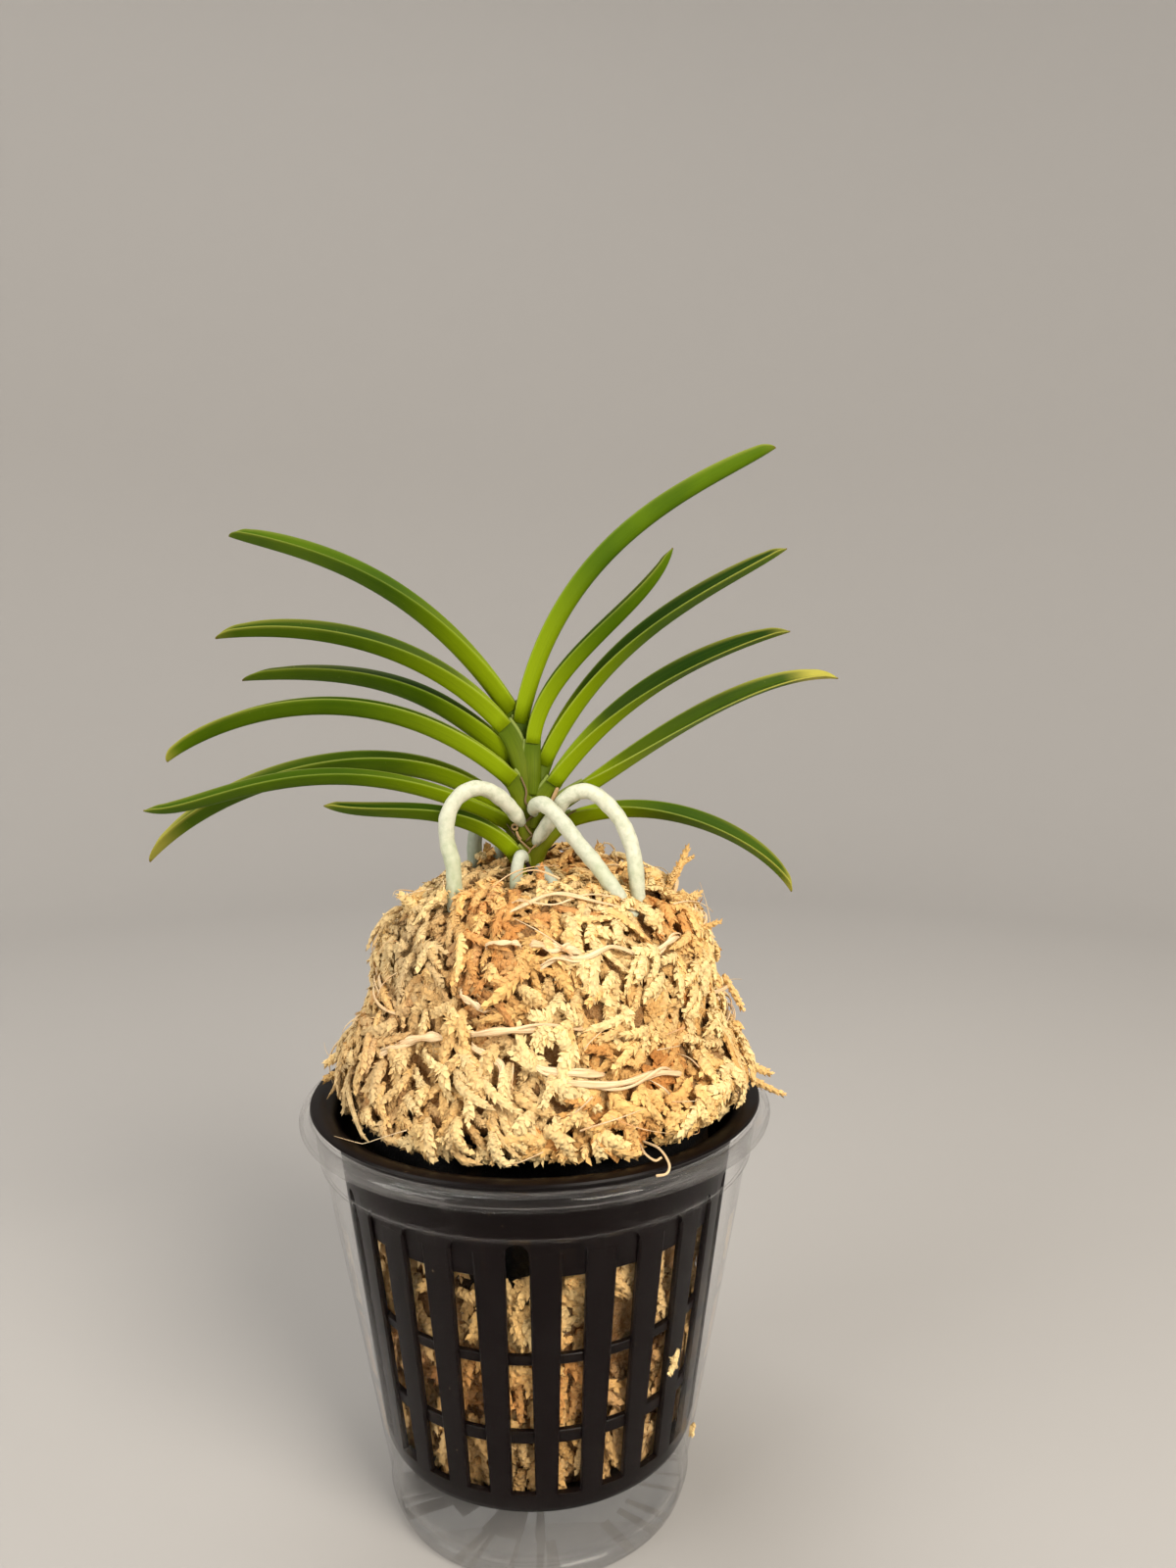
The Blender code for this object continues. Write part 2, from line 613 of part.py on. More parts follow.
def build_roots():
    for name, (radius, _) in ROOTS.items():
        obj = realise(tube(name, root_points(name).tolist(), radius, parts, ROOT_SILVER))
        shade_smooth(obj)


def moss_profile():
    """The moss from its flat underside in the pot to the top of the mound, as (radius, height) points."""
    inside = [(pot_radius(z) - HOOP_DEPTH - MOSS_FILL_CLEARANCE, z) for z in np.linspace(*MOSS_FILL_HEIGHTS, 6)]
    return inside + list(MOSS_MOUND)


def moss_lump(angle, z):
    """A share by which the moss stands out or in at an angle and a height: a few long waves. None inside the pot."""
    waves = sum(share * np.sin(count * angle + lean * z) for count, lean, share in MOSS_WAVES)
    return waves * np.clip((z - MOSS_FREE_Z) / MOSS_FREE_RISE, 0.0, 1.0)


def moss_shift(z):
    """How far the middle of the mound sits to the right at a height. Nothing inside the pot."""
    return MOSS_CENTRE_X * np.clip((z - MOSS_FREE_Z) / MOSS_FREE_RISE, 0.0, 1.0)


def moss_rings():
    angles = np.linspace(0.0, 2 * np.pi, MOSS_SIDES, endpoint=False)
    rings = []
    for radius, z in moss_profile():
        reach = radius * (1 + moss_lump(angles, z))
        x = moss_shift(z) + reach * np.cos(angles)
        rings.append(np.stack([x, reach * np.sin(angles), 0 * angles + z], axis=1))
    return np.array(rings)


def strand_mesh(name, root, middle, tip, radius, out):
    """A three-sided tapering shoot from its root, through its middle, to a point, with one ridge facing out."""
    root, middle, tip = Vector(root), Vector(middle), Vector(tip)
    along = (tip - root).normalized()
    ridge = (Vector(out) - along * along.dot(Vector(out))).normalized()
    side = along.cross(ridge)
    ring = [ridge, side * 0.87 - ridge * 0.5, side * -0.87 - ridge * 0.5]
    points = [root + step * radius * 0.8 for step in ring] + [middle + step * radius for step in ring] + [tip]
    faces = [(2, 1, 0)]
    for j in range(3):
        k = (j + 1) % 3
        faces.append((j, k, 3 + k, 3 + j))
        faces.append((3 + j, 3 + k, 6))
    mesh = bpy.data.meshes.new(name)
    mesh.from_pydata([tuple(point * MM) for point in points], [], faces)
    return mesh


def strand_rows():
    """Roots spread evenly over the mound by the golden angle, each with its outward way, from the pot's lip up."""
    profile = np.array([point for point in MOSS_MOUND if point[1] > MOSS_FREE_Z] + [(0.0, MOSS_MOUND[-1][1])])
    spans = np.linalg.norm(np.diff(profile, axis=0), axis=1)
    mids = (profile[1:] + profile[:-1]) / 2
    areas = np.concatenate([[0.0], np.cumsum(spans * mids[:, 0])])
    for i in range(STRAND_COUNT):
        share = (i + 0.5) / STRAND_COUNT * areas[-1]
        k = min(int(np.searchsorted(areas, share)) - 1, len(spans) - 1)
        part = (share - areas[k]) / (areas[k + 1] - areas[k])
        radius, z = profile[k] + (profile[k + 1] - profile[k]) * part
        run = (profile[k + 1] - profile[k]) / spans[k]
        angle = i * math.pi * (3 - math.sqrt(5))
        reach = radius * (1 + float(moss_lump(angle, z)))
        out = Vector((math.cos(angle), math.sin(angle), 0.0))
        place = Vector((float(moss_shift(z)) + out.x * reach, out.y * reach, z))
        normal = out * run[1] - Vector((0.0, 0.0, run[0]))
        yield place, out, normal.normalized()


def build_moss(root_channels):
    """The wound mound with the pot's filling below it, covered in curved shoots that hang down and outward."""
    draw = random.Random(11)
    moss = add_object("moss", loft_mesh("moss", moss_rings()), parts, DRIED_MOSS)
    strands = []
    for place, out, normal in strand_rows():
        length = draw.uniform(*STRAND_LENGTH)
        down = Vector((0.0, 0.0, -1.0)) + out * 0.3
        down = (down - normal * down.dot(normal)).normalized()
        turn = draw.gauss(0.0, 0.75)
        across = normal.cross(down)
        way = (down * math.cos(turn) + across * math.sin(turn)).normalized()
        lift = draw.uniform(0.25, 0.5)
        root = place - normal * 1.6 - way * length * 0.2
        middle = place + (way + normal * lift) * length * 0.28 + normal * 0.6
        tip = place + (way + normal * lift * 0.7) * length * 0.8
        tip.z = max(tip.z, STRAND_LOWEST_Z)
        middle.z = max(middle.z, STRAND_LOWEST_Z + 1.4)
        radius = STRAND_RADIUS * draw.uniform(0.8, 1.1)
        strands.append(strand_mesh(f"strand_{len(strands)}", root, middle, tip, radius, normal))
    for root, tip, radius in STRAY_STRANDS:
        middle = Vector(root).lerp(Vector(tip), 0.55)
        strands.append(strand_mesh(f"strand_{len(strands)}", root, middle, tip, radius, (0.0, -1.0, 0.2)))
    moss = boolean(moss, [add_cutter(mesh.name, mesh) for mesh in strands], "UNION", "MANIFOLD")
    low = STEM_BASE_Z - GAP
    profile = [(0.0, STEM_TOP_Z), (STEM_HOLE_RADIUS, STEM_TOP_Z), (STEM_HOLE_RADIUS, low), (0.0, low)]
    hole = turned("stem_hole", profile, 16, cutters)
    hole.location = (STEM_X * MM, 0.0, 0.0)
    bpy.context.view_layer.update()
    drop_scraps(boolean(moss, [realise(hole)] + root_channels, "DIFFERENCE", "MANIFOLD"))


clear_scene()
parts = new_collection("potted_wind_orchid")
cutters = new_collection("cutters", helper=True)
build_cup()
build_net_pot()
build_leaves()
build_roots()
build_stem([root_channel(name, "in_stem") for name in ROOTS])
build_moss([root_channel(name, "in_moss") for name in ROOTS])
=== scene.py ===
"""Potted wind orchid: the finished surface of every piece, laid on the fixed frame of the model.

Metres, +Z up. Tables are in millimetres, in the frame's own axes: +X to the right of the fan, -Y towards its
front.
"""

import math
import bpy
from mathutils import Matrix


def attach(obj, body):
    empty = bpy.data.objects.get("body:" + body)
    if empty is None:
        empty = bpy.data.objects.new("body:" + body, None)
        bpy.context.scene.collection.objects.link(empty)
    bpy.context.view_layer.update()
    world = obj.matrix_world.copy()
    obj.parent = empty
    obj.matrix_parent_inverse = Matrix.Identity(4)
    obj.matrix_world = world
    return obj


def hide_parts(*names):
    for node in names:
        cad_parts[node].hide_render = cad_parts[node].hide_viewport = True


bl_info = {
    "name": "Potted wind orchid",
    "version": (1, 0, 0),
    "blender": (4, 5, 0),
    "location": "3D View > Sidebar > Orchid",
    "description": "Leaves, roots, moss, net pot and clear cup of a potted wind orchid",
    "category": "Add Mesh",
}

from collections import namedtuple

import bpy
import numpy as np
from bpy.props import FloatProperty, FloatVectorProperty, IntProperty, PointerProperty
from mathutils import Matrix

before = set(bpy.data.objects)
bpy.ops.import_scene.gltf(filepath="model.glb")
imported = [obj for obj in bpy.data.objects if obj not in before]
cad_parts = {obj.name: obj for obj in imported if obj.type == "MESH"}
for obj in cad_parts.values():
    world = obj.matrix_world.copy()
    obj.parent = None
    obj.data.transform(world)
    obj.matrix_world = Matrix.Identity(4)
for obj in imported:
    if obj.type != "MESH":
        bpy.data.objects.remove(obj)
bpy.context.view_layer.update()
MM = 0.001
FRONT = np.array([0.0, -1.0, 0.0])
UP = np.array([0.0, 0.0, 1.0])

# Sizes of the cup and the net pot, as (radius, height) points or single values.

CUP_FOOT_RADIUS = 29.7
CUP_SHOULDER_RADIUS = 43.7
CUP_SHOULDER_Z = 78.0
CUP_RIM_Z = 81.2
CUP_BEAD_RADIUS = 46.5
CUP_STEP_Z = 71.7
CUP_STEP_HALF = 0.3
CUP_STEP_BEAD = 0.35
CUP_FOOT_HEIGHT = 4.0
CUP_RING_Z = 5.6
CUP_RING_HEIGHT = 0.15
POT_WALL = 1.2
POT_BOTTOM_Z = 14.6
POT_BOTTOM_RADIUS = 31.2
POT_NECK_Z = 75.0
POT_NECK_RADIUS = 39.1
POT_LIP = (
    (38.6, 78.6), (39.1, 80.0), (39.9, 81.2), (41.0, 82.0), (42.2, 82.35), (43.6, 82.4), (44.2, 82.25),
    (44.4, 81.9), (44.0, 81.45), (43.2, 81.3), (42.2, 81.2), (41.2, 80.7), (40.4, 79.8), (39.9, 78.4),
)
SLOT_COUNT = 24
SLOT_WIDTH = 4.2
SLOT_HEIGHTS = (18.4, 69.0)
BAR_ENDS = (SLOT_HEIGHTS[0] - 0.4, SLOT_HEIGHTS[1] - 1.9)
HOOP_INSET = 0.8
FRONT_SLOT = -90.0 - 5.6
FRONT_WINDOW_Z = 60.0
HOOPS = ((28.9, 31.4), (44.9, 46.8), (62.1, 70.2))

MOSS_MOUND = (
    (36.8, 82.4), (38.2, 86.0), (38.4, 90.0), (37.0, 94.5), (35.0, 98.0), (33.8, 101.0), (33.2, 105.0),
    (32.0, 110.0), (30.4, 115.0), (27.0, 119.0), (22.6, 122.4), (16.0, 124.4), (9.0, 125.0), (0.0, 125.0),
)
# Single shoots: from, to, thickness and rustiness.
MOSS_STRAYS = (
    ((26.0, -1.5, 121.5), (30.6, -1.5, 131.2), 1.0, 0.45),
    ((26.5, -2.0, 123.5), (28.5, -3.0, 127.0), 0.8, 0.30),
    ((28.0, -1.0, 126.0), (31.8, -1.5, 128.8), 0.6, 0.40),
    ((1.2, -9.0, 123.0), (1.5, -9.2, 129.2), 0.8, 0.95),
    ((2.2, -9.4, 123.0), (0.6, -9.4, 127.2), 0.6, 0.90),
    ((-24.5, -7.0, 119.5), (-21.0, -9.5, 124.6), 1.3, 0.20),
    ((-22.0, -9.0, 120.5), (-25.5, -10.5, 123.8), 1.2, 0.10),
    ((-19.0, -11.0, 121.0), (-16.5, -13.0, 124.8), 1.3, 0.15),
    ((-14.0, -12.0, 121.5), (-11.0, -14.0, 125.2), 1.2, 0.35),
    ((-10.0, 10.0, 124.0), (-9.5, 12.0, 129.8), 1.3, 0.35),
    ((12.5, 11.0, 124.5), (14.0, 12.5, 129.4), 1.3, 0.45),
    ((28.0, -4.0, 119.5), (32.5, -5.0, 122.0), 1.1, 0.30),
    ((41.5, -9.0, 86.2), (48.4, -11.0, 83.0), 0.9, 0.40),
    ((40.0, -6.0, 88.6), (46.4, -7.5, 86.0), 1.2, 0.35),
    ((37.0, -5.0, 105.5), (41.0, -5.5, 98.0), 0.9, 0.35),
    ((31.0, -6.0, 114.4), (36.4, -6.5, 116.6), 0.8, 0.45),
    ((-36.0, 1.0, 87.0), (-42.8, 0.0, 84.2), 1.1, 0.40),
    ((-37.0, -3.0, 91.0), (-41.6, -3.5, 88.4), 1.0, 0.20),
    ((5.0, -33.0, 87.0), (4.0, -38.5, 83.4), 1.1, 0.40),
    ((9.5, -33.0, 86.8), (7.5, -38.0, 83.8), 1.0, 0.30),
    ((25.6, -24.0, 40.4), (23.4, -27.4, 37.4), 0.7, 0.10),
    ((25.2, -24.8, 37.2), (23.8, -27.2, 41.0), 0.6, 0.10),
    ((30.0, -14.3, 18.7), (29.5, -14.2, 15.8), 0.6, 0.20),
)
# Threads that hang over the rim.
MOSS_CURLS = (
    (
        (15.0, -30.0, 85.5), (18.0, -33.0, 84.4), (20.6, -36.0, 84.2), (21.8, -40.0, 83.4),
        (21.2, -42.2, 82.7), (19.4, -42.6, 82.5),
    ),
    ((17.5, -33.0, 84.0), (18.2, -36.5, 83.6), (19.6, -38.6, 83.3), (20.8, -38.0, 83.5)),
)
# Flat stems on the front of the mound: half width, then (degrees to the right of the front, height) points.
MOSS_STEMS = (
    (0.55, ((-19.4, 122.3), (-1.2, 123.3), (18.4, 122.6), (54.3, 120.3))),
    (0.40, ((-21.5, 117.3), (-13.6, 117.9), (-9.5, 117.5))),
    (0.75, ((-6.8, 117.8), (2.3, 117.0), (10.6, 115.8))),
    (0.45, ((-3.8, 114.2), (2.2, 115.7), (11.1, 115.3), (20.0, 116.1), (30.0, 115.2))),
    (0.65, ((-27.8, 102.2), (-16.7, 104.2), (-7.5, 104.4), (9.3, 104.6))),
    (0.70, ((-55.9, 95.9), (-48.3, 99.2), (-39.8, 101.1), (-32.5, 101.4))),
    (0.60, ((-8.6, 98.8), (1.4, 97.7), (14.0, 97.3))),
    (0.60, ((-1.4, 96.4), (14.8, 95.8), (27.6, 95.9), (37.8, 94.4))),
    (0.50, ((-27.3, 110.1), (-23.6, 109.0), (-18.9, 107.2))),
    (0.45, ((30.2, 114.1), (41.9, 115.2), (54.0, 116.2))),
    (0.55, ((-24.7, 100.9), (-14.6, 98.6), (-13.2, 95.4))),
)
# Patches of the mound: place, reach, and how much rustier and greyer the moss is there.
MOSS_PATCHES = (
    ((-8.5, -19.5, 121.0), 7.0, 0.45, 0.0),
    ((-30.4, -8.5, 103.0), 7.0, 0.55, 0.0),
    ((18.5, -31.0, 98.0), 6.0, 0.40, 0.0),
    ((23.0, -13.0, 121.0), 4.0, 0.60, 0.0),
    ((15.5, -35.0, 87.0), 6.0, 0.35, 0.0),
    ((-24.0, -14.0, 116.0), 9.0, -0.20, 0.30),
    ((2.0, -36.0, 101.0), 14.0, -0.15, -0.15),
)
# Long waves round the mound: how many, how they lean with the height, and their size. Then the mound's
# middle, how much higher it is behind the stem, and the height that no shoot falls below, which is the pot's
# lip.
MOSS_WAVES = ((3, 0.11, 0.030), (5, -0.23, 0.025), (9, 0.0, 0.015))
MOSS_CENTRE_X = 2.6
MOSS_BACK_RISE = 3.2
MOSS_LIP_Z = 83.2
# How the shoots stand on the mound: the angle between forks, and the part of them that lies on top of the
# others.
GOLDEN_ANGLE = 2.39996
UPPER_PART = 0.38
# What the random draws of the moss start from.
MOSS_SEED = 17
# Half the angle between a fork's arms, in radians, then the length and thickness of the shoots on the mound
# and in the pot, the heights of those in the pot, and the length of the threads: each is drawn between the
# two values.
FORK_ANGLES = (0.2, 0.6)
SHOOT_LENGTHS = (4.0, 8.0)
SHOOT_THICKNESSES = (0.8, 1.25)
FILLING_LENGTHS = (5.0, 10.0)
FILLING_THICKNESSES = (1.1, 1.7)
FILLING_HEIGHTS = (17.5, 66.0)
THREAD_LENGTHS = (4.0, 13.0)
# How flat the ribbon of a shoot is, and from what angle on the edges between its faces look sharp.
RIBBON_FLAT = 0.62
SHOOT_SHARP = 75
# The heights of the stems that are wound round the mound's sides and back.
MOSS_BUNDLES_Z = (122.3, 116.6, 103.8, 96.7, 87.5)

# Each leaf, from the youngest of its rank down: the joint where the blade meets its sheath (x, z), the tip
# (x, z), the way that the keel runs at the joint and at the tip, as degrees up from +X, the pull of each on
# the curve, the depth (y) of joint and tip, half the blade's width, how far the near and the far half open,
# in degrees, the height on the stem where the sheath starts, the power that shapes the tip, the share of the
# blade that stays lime green, the yellowness of the tip and how much painted shade darkens the inside of the
# fold.
Leaf = namedtuple("Leaf", "joint tip rise fall pulls depths half_width opening foot_z power lime gold dark")
LEFT_RANK = (
    ((-6.4, 157.4), (-58.3, 191.4), 124, 159, (1.63, 0.50), (1.8, 4), 4.4, (65, 23), 143, 10, 0.3, 0.2, 0.25),
    ((-7.2, 153.7), (-59.0, 171.4), 132, 186, (1.13, 0.99), (-1.2, -5), 4.2, (60, 13), 139, 9, 0.5, 0.4, 0.7),
    ((-5.8, 147.0), (-57.2, 163.6), 138, 183, (0.99, 1.54), (1, 6), 4.7, (55, 38), 135.5, 10, 0.4, 0.2, 0.8),
    ((-6, 143.6), (-68.4, 148.5), 139, 218, (1.65, 0.51), (-1.8, -6), 4.2, (49, 40), 132, 8, 0.3, 0.6, 0.85),
    ((-8.7, 137.2), (-77.6, 127.2), 137, 225, (0.92, 1.09), (3.7, 9), 4.6, (52, 14), 128.5, 8, 0.3, 0.8, 0.45),
    ((-6.0, 134.3), (-74.0, 139.1), 152, 158, (1.86, 0.50), (0.3, -4), 3.4, (58, 23), 126, 6, 0.25, 0.3, 0.4),
    ((-5.4, 129.4), (-39.4, 140.1), 132, 148, (1.25, 0.75), (-3.4, -8), 3.8, (59, 46), 123.5, 7, 0.3, 0.5, 0.8),
)
RIGHT_RANK = (
    ((-0.6, 156.0), (48.4, 208.6), 77, 34, (1.52, 0.62), (1.0, 4), 3.8, (15, 25), 145, 10, 0.3, 0.3, 0.3),
    ((1.5, 151.6), (27.1, 188.3), 83, 79, (1.02, 0.79), (-1.3, -4), 3.5, (45, 29), 141, 5, 0.48, 0.2, 0.85),
    ((3.8, 147.1), (50.6, 188.9), 65, 36, (1.37, 0.62), (0.6, 3), 3.8, (73, 23), 137.5, 6, 0.42, 0.5, 0.9),
    ((5.5, 142.9), (49.5, 172.3), 54, 17, (1.19, 0.91), (-1.6, -5), 3.8, (82, 21), 134.5, 7, 0.6, 0.5, 0.9),
    ((11.1, 140.9), (62.3, 163.3), 29, -4, (0.53, 1.00), (2, 7), 3.5, (86, 11), 131, 7, 0.55, 1.0, 0.6),
    ((8.2, 134.8), (49.7, 122.2), 18, 301, (1.21, 0.76), (-1, -7), 3.7, (76, 30), 126, 8, 0.3, 0.7, 0.5),
)
LEAVES = {
    f"{side}_{i + 1}": Leaf(*row)
    for side, rank in (("left", LEFT_RANK), ("right", RIGHT_RANK))
    for i, row in enumerate(rank)
}

STEM_X = -1.0
STEM_HEIGHTS = (119.0, 150.0)
SHEATH_WIDTH = 4.6

# Each aerial root: its radius, how much darker bluish grey painted shade it gets where it lies behind or
# under the plant, and the points of its centre line, from the stem into the moss.
ROOTS = {
    "root_front_left_arch": (1.5, 0.1, (
        (-2.2, -1.6, 135.4), (-2.9, -3.4, 136.8), (-5.2, -5.4, 140.0), (-8.3, -7.2, 142.6),
        (-11.2, -8.6, 143.2), (-14.2, -9.6, 141.6), (-16.1, -10.2, 138.1), (-16.2, -10.6, 133.4),
        (-15.2, -10.9, 129.3), (-15.0, -11.0, 124.0), (-15.0, -11.0, 119.5))),
    "root_front_right_arch": (1.5, 0.0, (
        (0.2, -1.6, 131.4), (1.1, -3.1, 133.2), (4.1, -4.2, 137.6), (6.0, -5.4, 140.6), (8.8, -6.6, 142.2),
        (11.3, -7.6, 142.0), (14.1, -8.6, 139.8), (16.7, -9.6, 136.4), (18.4, -10.6, 132.0),
        (19.1, -11.4, 127.6), (19.4, -12.0, 122.0), (19.4, -12.2, 117.5))),
    "root_front_diagonal": (1.5, 0.2, (
        (0.2, -1.8, 137.4), (-0.1, -3.6, 138.6), (0.6, -5.4, 139.6), (2.1, -7.2, 139.8), (4.7, -9.0, 137.5),
        (8.4, -11.0, 132.8), (11.9, -13.0, 128.6), (15.0, -14.8, 124.2), (18.0, -16.4, 119.6))),
    "root_back_left": (1.5, 0.9, (
        (-1.8, 1.4, 132.0), (-4.0, 4.2, 134.6), (-7.2, 6.6, 136.6), (-10.2, 8.2, 135.6), (-11.9, 9.2, 132.4),
        (-12.3, 9.7, 128.2), (-12.4, 10.0, 123.6), (-12.4, 10.0, 119.5))),
    "root_back_small": (1.1, 1.0, (
        (-1.8, 1.2, 128.4), (-3.4, 4.2, 130.4), (-5.4, 7.2, 131.2), (-6.9, 9.0, 129.4), (-7.5, 10.0, 126.0),
        (-7.6, 10.2, 120.5))),
    "root_stub": (1.2, 0.5, (
        (-1.5, -2.4, 128.2), (-2.4, -5.8, 129.8), (-3.0, -7.6, 129.2), (-3.4, -8.4, 126.4),
        (-3.6, -8.8, 120.5))),
    "root_low_right": (1.2, 0.7, (
        (0.2, -1.8, 125.4), (0.9, -3.8, 126.6), (1.6, -5.8, 126.9), (3.5, -7.8, 124.6), (5.6, -9.6, 120.6))),
}


# Arrays and meshes.


def unit(vectors):
    """Vectors along the last axis, each divided by its length."""
    return vectors / np.maximum(np.linalg.norm(vectors, axis=-1, keepdims=True), 1e-12)


def blend(low, high, x):
    """Nothing at low, one at high and past it, and between them the smooth step 3x^2 - 2x^3."""
    x = np.clip((x - low) / (high - low), 0.0, 1.0)
    return x * x * (3 - 2 * x)


def bell(x, middle, width):
    """One in the middle, and e^-1 at a width from it: e to the power of -((x - middle) / width)^2."""
    return np.exp(-(((x - middle) / width) ** 2))


def wander(points, seed, scale):
    """A smooth field from about -1 to 1: the mean of six sine waves that cross the points in seeded
    directions."""
    draw = np.random.default_rng(seed)
    ways = unit(draw.normal(size=(6, 3))) * (2 * np.pi / scale) * draw.uniform(0.6, 1.6, (6, 1))
    phases = draw.uniform(0, 2 * np.pi, 6)
    return np.sin(points @ ways.T + phases).mean(axis=-1) * 1.8


def around(radius, angle, z):
    """Points at a radius, at an angle round Z and at a height."""
    return np.stack(np.broadcast_arrays(radius * np.cos(angle), radius * np.sin(angle), z), axis=-1)


def sideways(angle):
    """The unit vectors (-sin, cos, 0), which run round Z at an angle."""
    return np.stack([-np.sin(angle), np.cos(angle), 0 * angle], axis=-1)


def turns(count):
    """Angles of a full turn in equal parts."""
    return 2 * np.pi * np.arange(count) / count


def run_of(points):
    """The length along a line of points, from nothing at the first."""
    return np.concatenate([[0.0], np.cumsum(np.linalg.norm(np.diff(points, axis=0), axis=1))])


class Skin:
    """A mesh as arrays: points, four- and three-sided faces, a (u, v) for each face corner and named point
    values."""

    def __init__(self, points, quads, tris, uv, values=None):
        self.points = points.reshape(-1, 3)
        self.quads = quads.reshape(-1, 4)
        self.tris = tris.reshape(-1, 3)
        self.uv = uv.reshape(-1, 2)
        self.values = values or {}

    def spread(self, **values):
        """Sets named values, each given for every point or once for every equal block of points."""
        for name, value in values.items():
            value = np.atleast_1d(np.asarray(value, float)).ravel()
            self.values[name] = np.repeat(value, len(self.points) // len(value))
        return self


def joined(skins):
    """Several skins as one, with the face numbers moved on and the values that all of them have."""
    starts = np.cumsum([0] + [len(skin.points) for skin in skins])
    names = set.intersection(*[set(skin.values) for skin in skins])
    quad_uv = [skin.uv[: len(skin.quads) * 4] for skin in skins]
    tri_uv = [skin.uv[len(skin.quads) * 4 :] for skin in skins]
    return Skin(
        np.concatenate([skin.points for skin in skins]),
        np.concatenate([skin.quads + start for skin, start in zip(skins, starts)]),
        np.concatenate([skin.tris + start for skin, start in zip(skins, starts)]),
        np.concatenate(quad_uv + tri_uv),
        {name: np.concatenate([skin.values[name] for skin in skins]) for name in sorted(names)},
    )


def lattice(rows, sides, wrapped=False):
    """The faces over rows of points that close round their sides: quads, their (column, row) corners, and
    two fans of tris, which close the first row on the point after the rows and the last one on the next.
    Wrapped, the last row also joins the first."""
    row, column = np.meshgrid(np.arange(rows if wrapped else rows - 1), np.arange(sides), indexing="ij")
    up, after = (row + 1) % rows * sides, (column + 1) % sides
    quads = np.stack([row * sides + column, row * sides + after, up + after, up + column], axis=-1)
    corners = np.stack([[column, column + 1, column + 1, column], [row, row, row + 1, row + 1]], axis=-1)
    j = np.arange(sides)
    k = (j + 1) % sides
    end, base = 0 * j + rows * sides, (rows - 1) * sides
    fans = np.stack([np.stack([end, k, j], axis=-1), np.stack([end + 1, base + j, base + k], axis=-1)])
    return quads.reshape(-1, 4), corners.transpose(1, 2, 0, 3).reshape(-1, 2), fans


def turned_over(faces):
    """Faces that look the other way, each from the same corner on."""
    return np.roll(faces[..., ::-1], 1, axis=-1)


def tubes(paths, radii, sides, ways, flat=1.0):
    """Closed sections carried along many paths at once.

    paths is (count, stations, 3), radii (count, stations) and ways (count, 3), which no path runs along. A
    section is its centre + radius * (flat * cos a * up + sin a * side), with side square to the path and the
    way, and up square to both. Each end closes on one point, a third of the radius past the last section."""
    count, stations = radii.shape
    along = unit(np.gradient(paths, axis=1))
    side = unit(np.cross(along, np.broadcast_to(ways[:, None, :], along.shape)))
    up = np.cross(side, along)
    angle = turns(sides)
    ring = flat * np.cos(angle)[:, None] * up[:, :, None, :] + np.sin(angle)[:, None] * side[:, :, None, :]
    rings = paths[:, :, None, :] + radii[:, :, None, None] * ring
    first = paths[:, 0] - along[:, 0] * radii[:, 0, None] / 3
    last = paths[:, -1] + along[:, -1] * radii[:, -1, None] / 3
    points = np.concatenate([rings.reshape(count, -1, 3), first[:, None], last[:, None]], axis=1)
    quads, corners, fans = lattice(stations, sides)
    starts = np.arange(count)[:, None, None] * points.shape[1]
    j = np.arange(sides)
    fan_u = np.stack([[j + 0.5, j + 1, j], [j + 0.5, j, j + 1]]).transpose(0, 2, 1) / sides
    fan_uv = np.stack([fan_u, np.repeat([0.0, 1.0], sides * 3).reshape(fan_u.shape)], axis=-1)
    uv = [np.tile(part.reshape(-1, 2), (count, 1)) for part in (corners / (sides, stations - 1), fan_uv)]
    share = np.concatenate([np.repeat(np.linspace(0, 1, stations), sides), [0.0, 1.0]])
    tris = fans.reshape(-1, 3) + starts
    return Skin(points, quads + starts, tris, np.concatenate(uv), {"along": np.tile(share, count)})


def tube(path, radius, sides, way, flat=1.0):
    """One tube along a path (stations, 3) with a radius for each station."""
    return tubes(path[None], radius[None], sides, np.array([way]), flat)


def loop_skin(rings):
    """A skin over rings of points (stations, sides, 3), closed round each ring and, by a middle point, at
    each end."""
    stations, sides = rings.shape[:2]
    ends = np.stack([rings[0].mean(axis=0), rings[-1].mean(axis=0)])
    quads, corners, fans = lattice(stations, sides)
    ends_uv = np.repeat([[0.0, 0.0], [1.0, 1.0]], sides * 3, axis=0)
    uv = np.concatenate([corners / (sides, stations - 1), ends_uv])
    return Skin(np.concatenate([rings.reshape(-1, 3), ends]), quads, fans, uv)


def turned_skin(profile, steps):
    """A closed ring of (radius, height) points turned round Z: x = r cos a, y = r sin a.

    The profile runs up the inside and down the outside, so that its faces point out of the material. Where it
    touches the axis at both ends, each end closes on one point."""
    profile = np.array(profile, float)
    on_axis = profile[0, 0] < 1e-6
    ring = profile[1:-1] if on_axis else profile
    count = len(ring)
    points = around(ring[:, 0, None], turns(steps), ring[:, 1, None]).reshape(-1, 3)
    quads, corners, fans = lattice(count, steps, wrapped=not on_axis)
    corners = turned_over(corners.reshape(-1, 4, 2).transpose(0, 2, 1)).transpose(0, 2, 1)
    uv = corners.reshape(-1, 2) / (steps, count)
    if not on_axis:
        return Skin(points, turned_over(quads), np.empty((0, 3), int), uv)
    ends = np.array([[0, 0, profile[0, 1]], [0, 0, profile[-1, 1]]])
    uv = np.concatenate([uv, np.zeros((steps * 6, 2))])
    return Skin(np.concatenate([points, ends]), turned_over(quads), turned_over(fans), uv)


def put(name, data):
    """A new object in the scene."""
    obj = bpy.data.objects.new(name, data)
    bpy.context.scene.collection.objects.link(obj)
    return obj


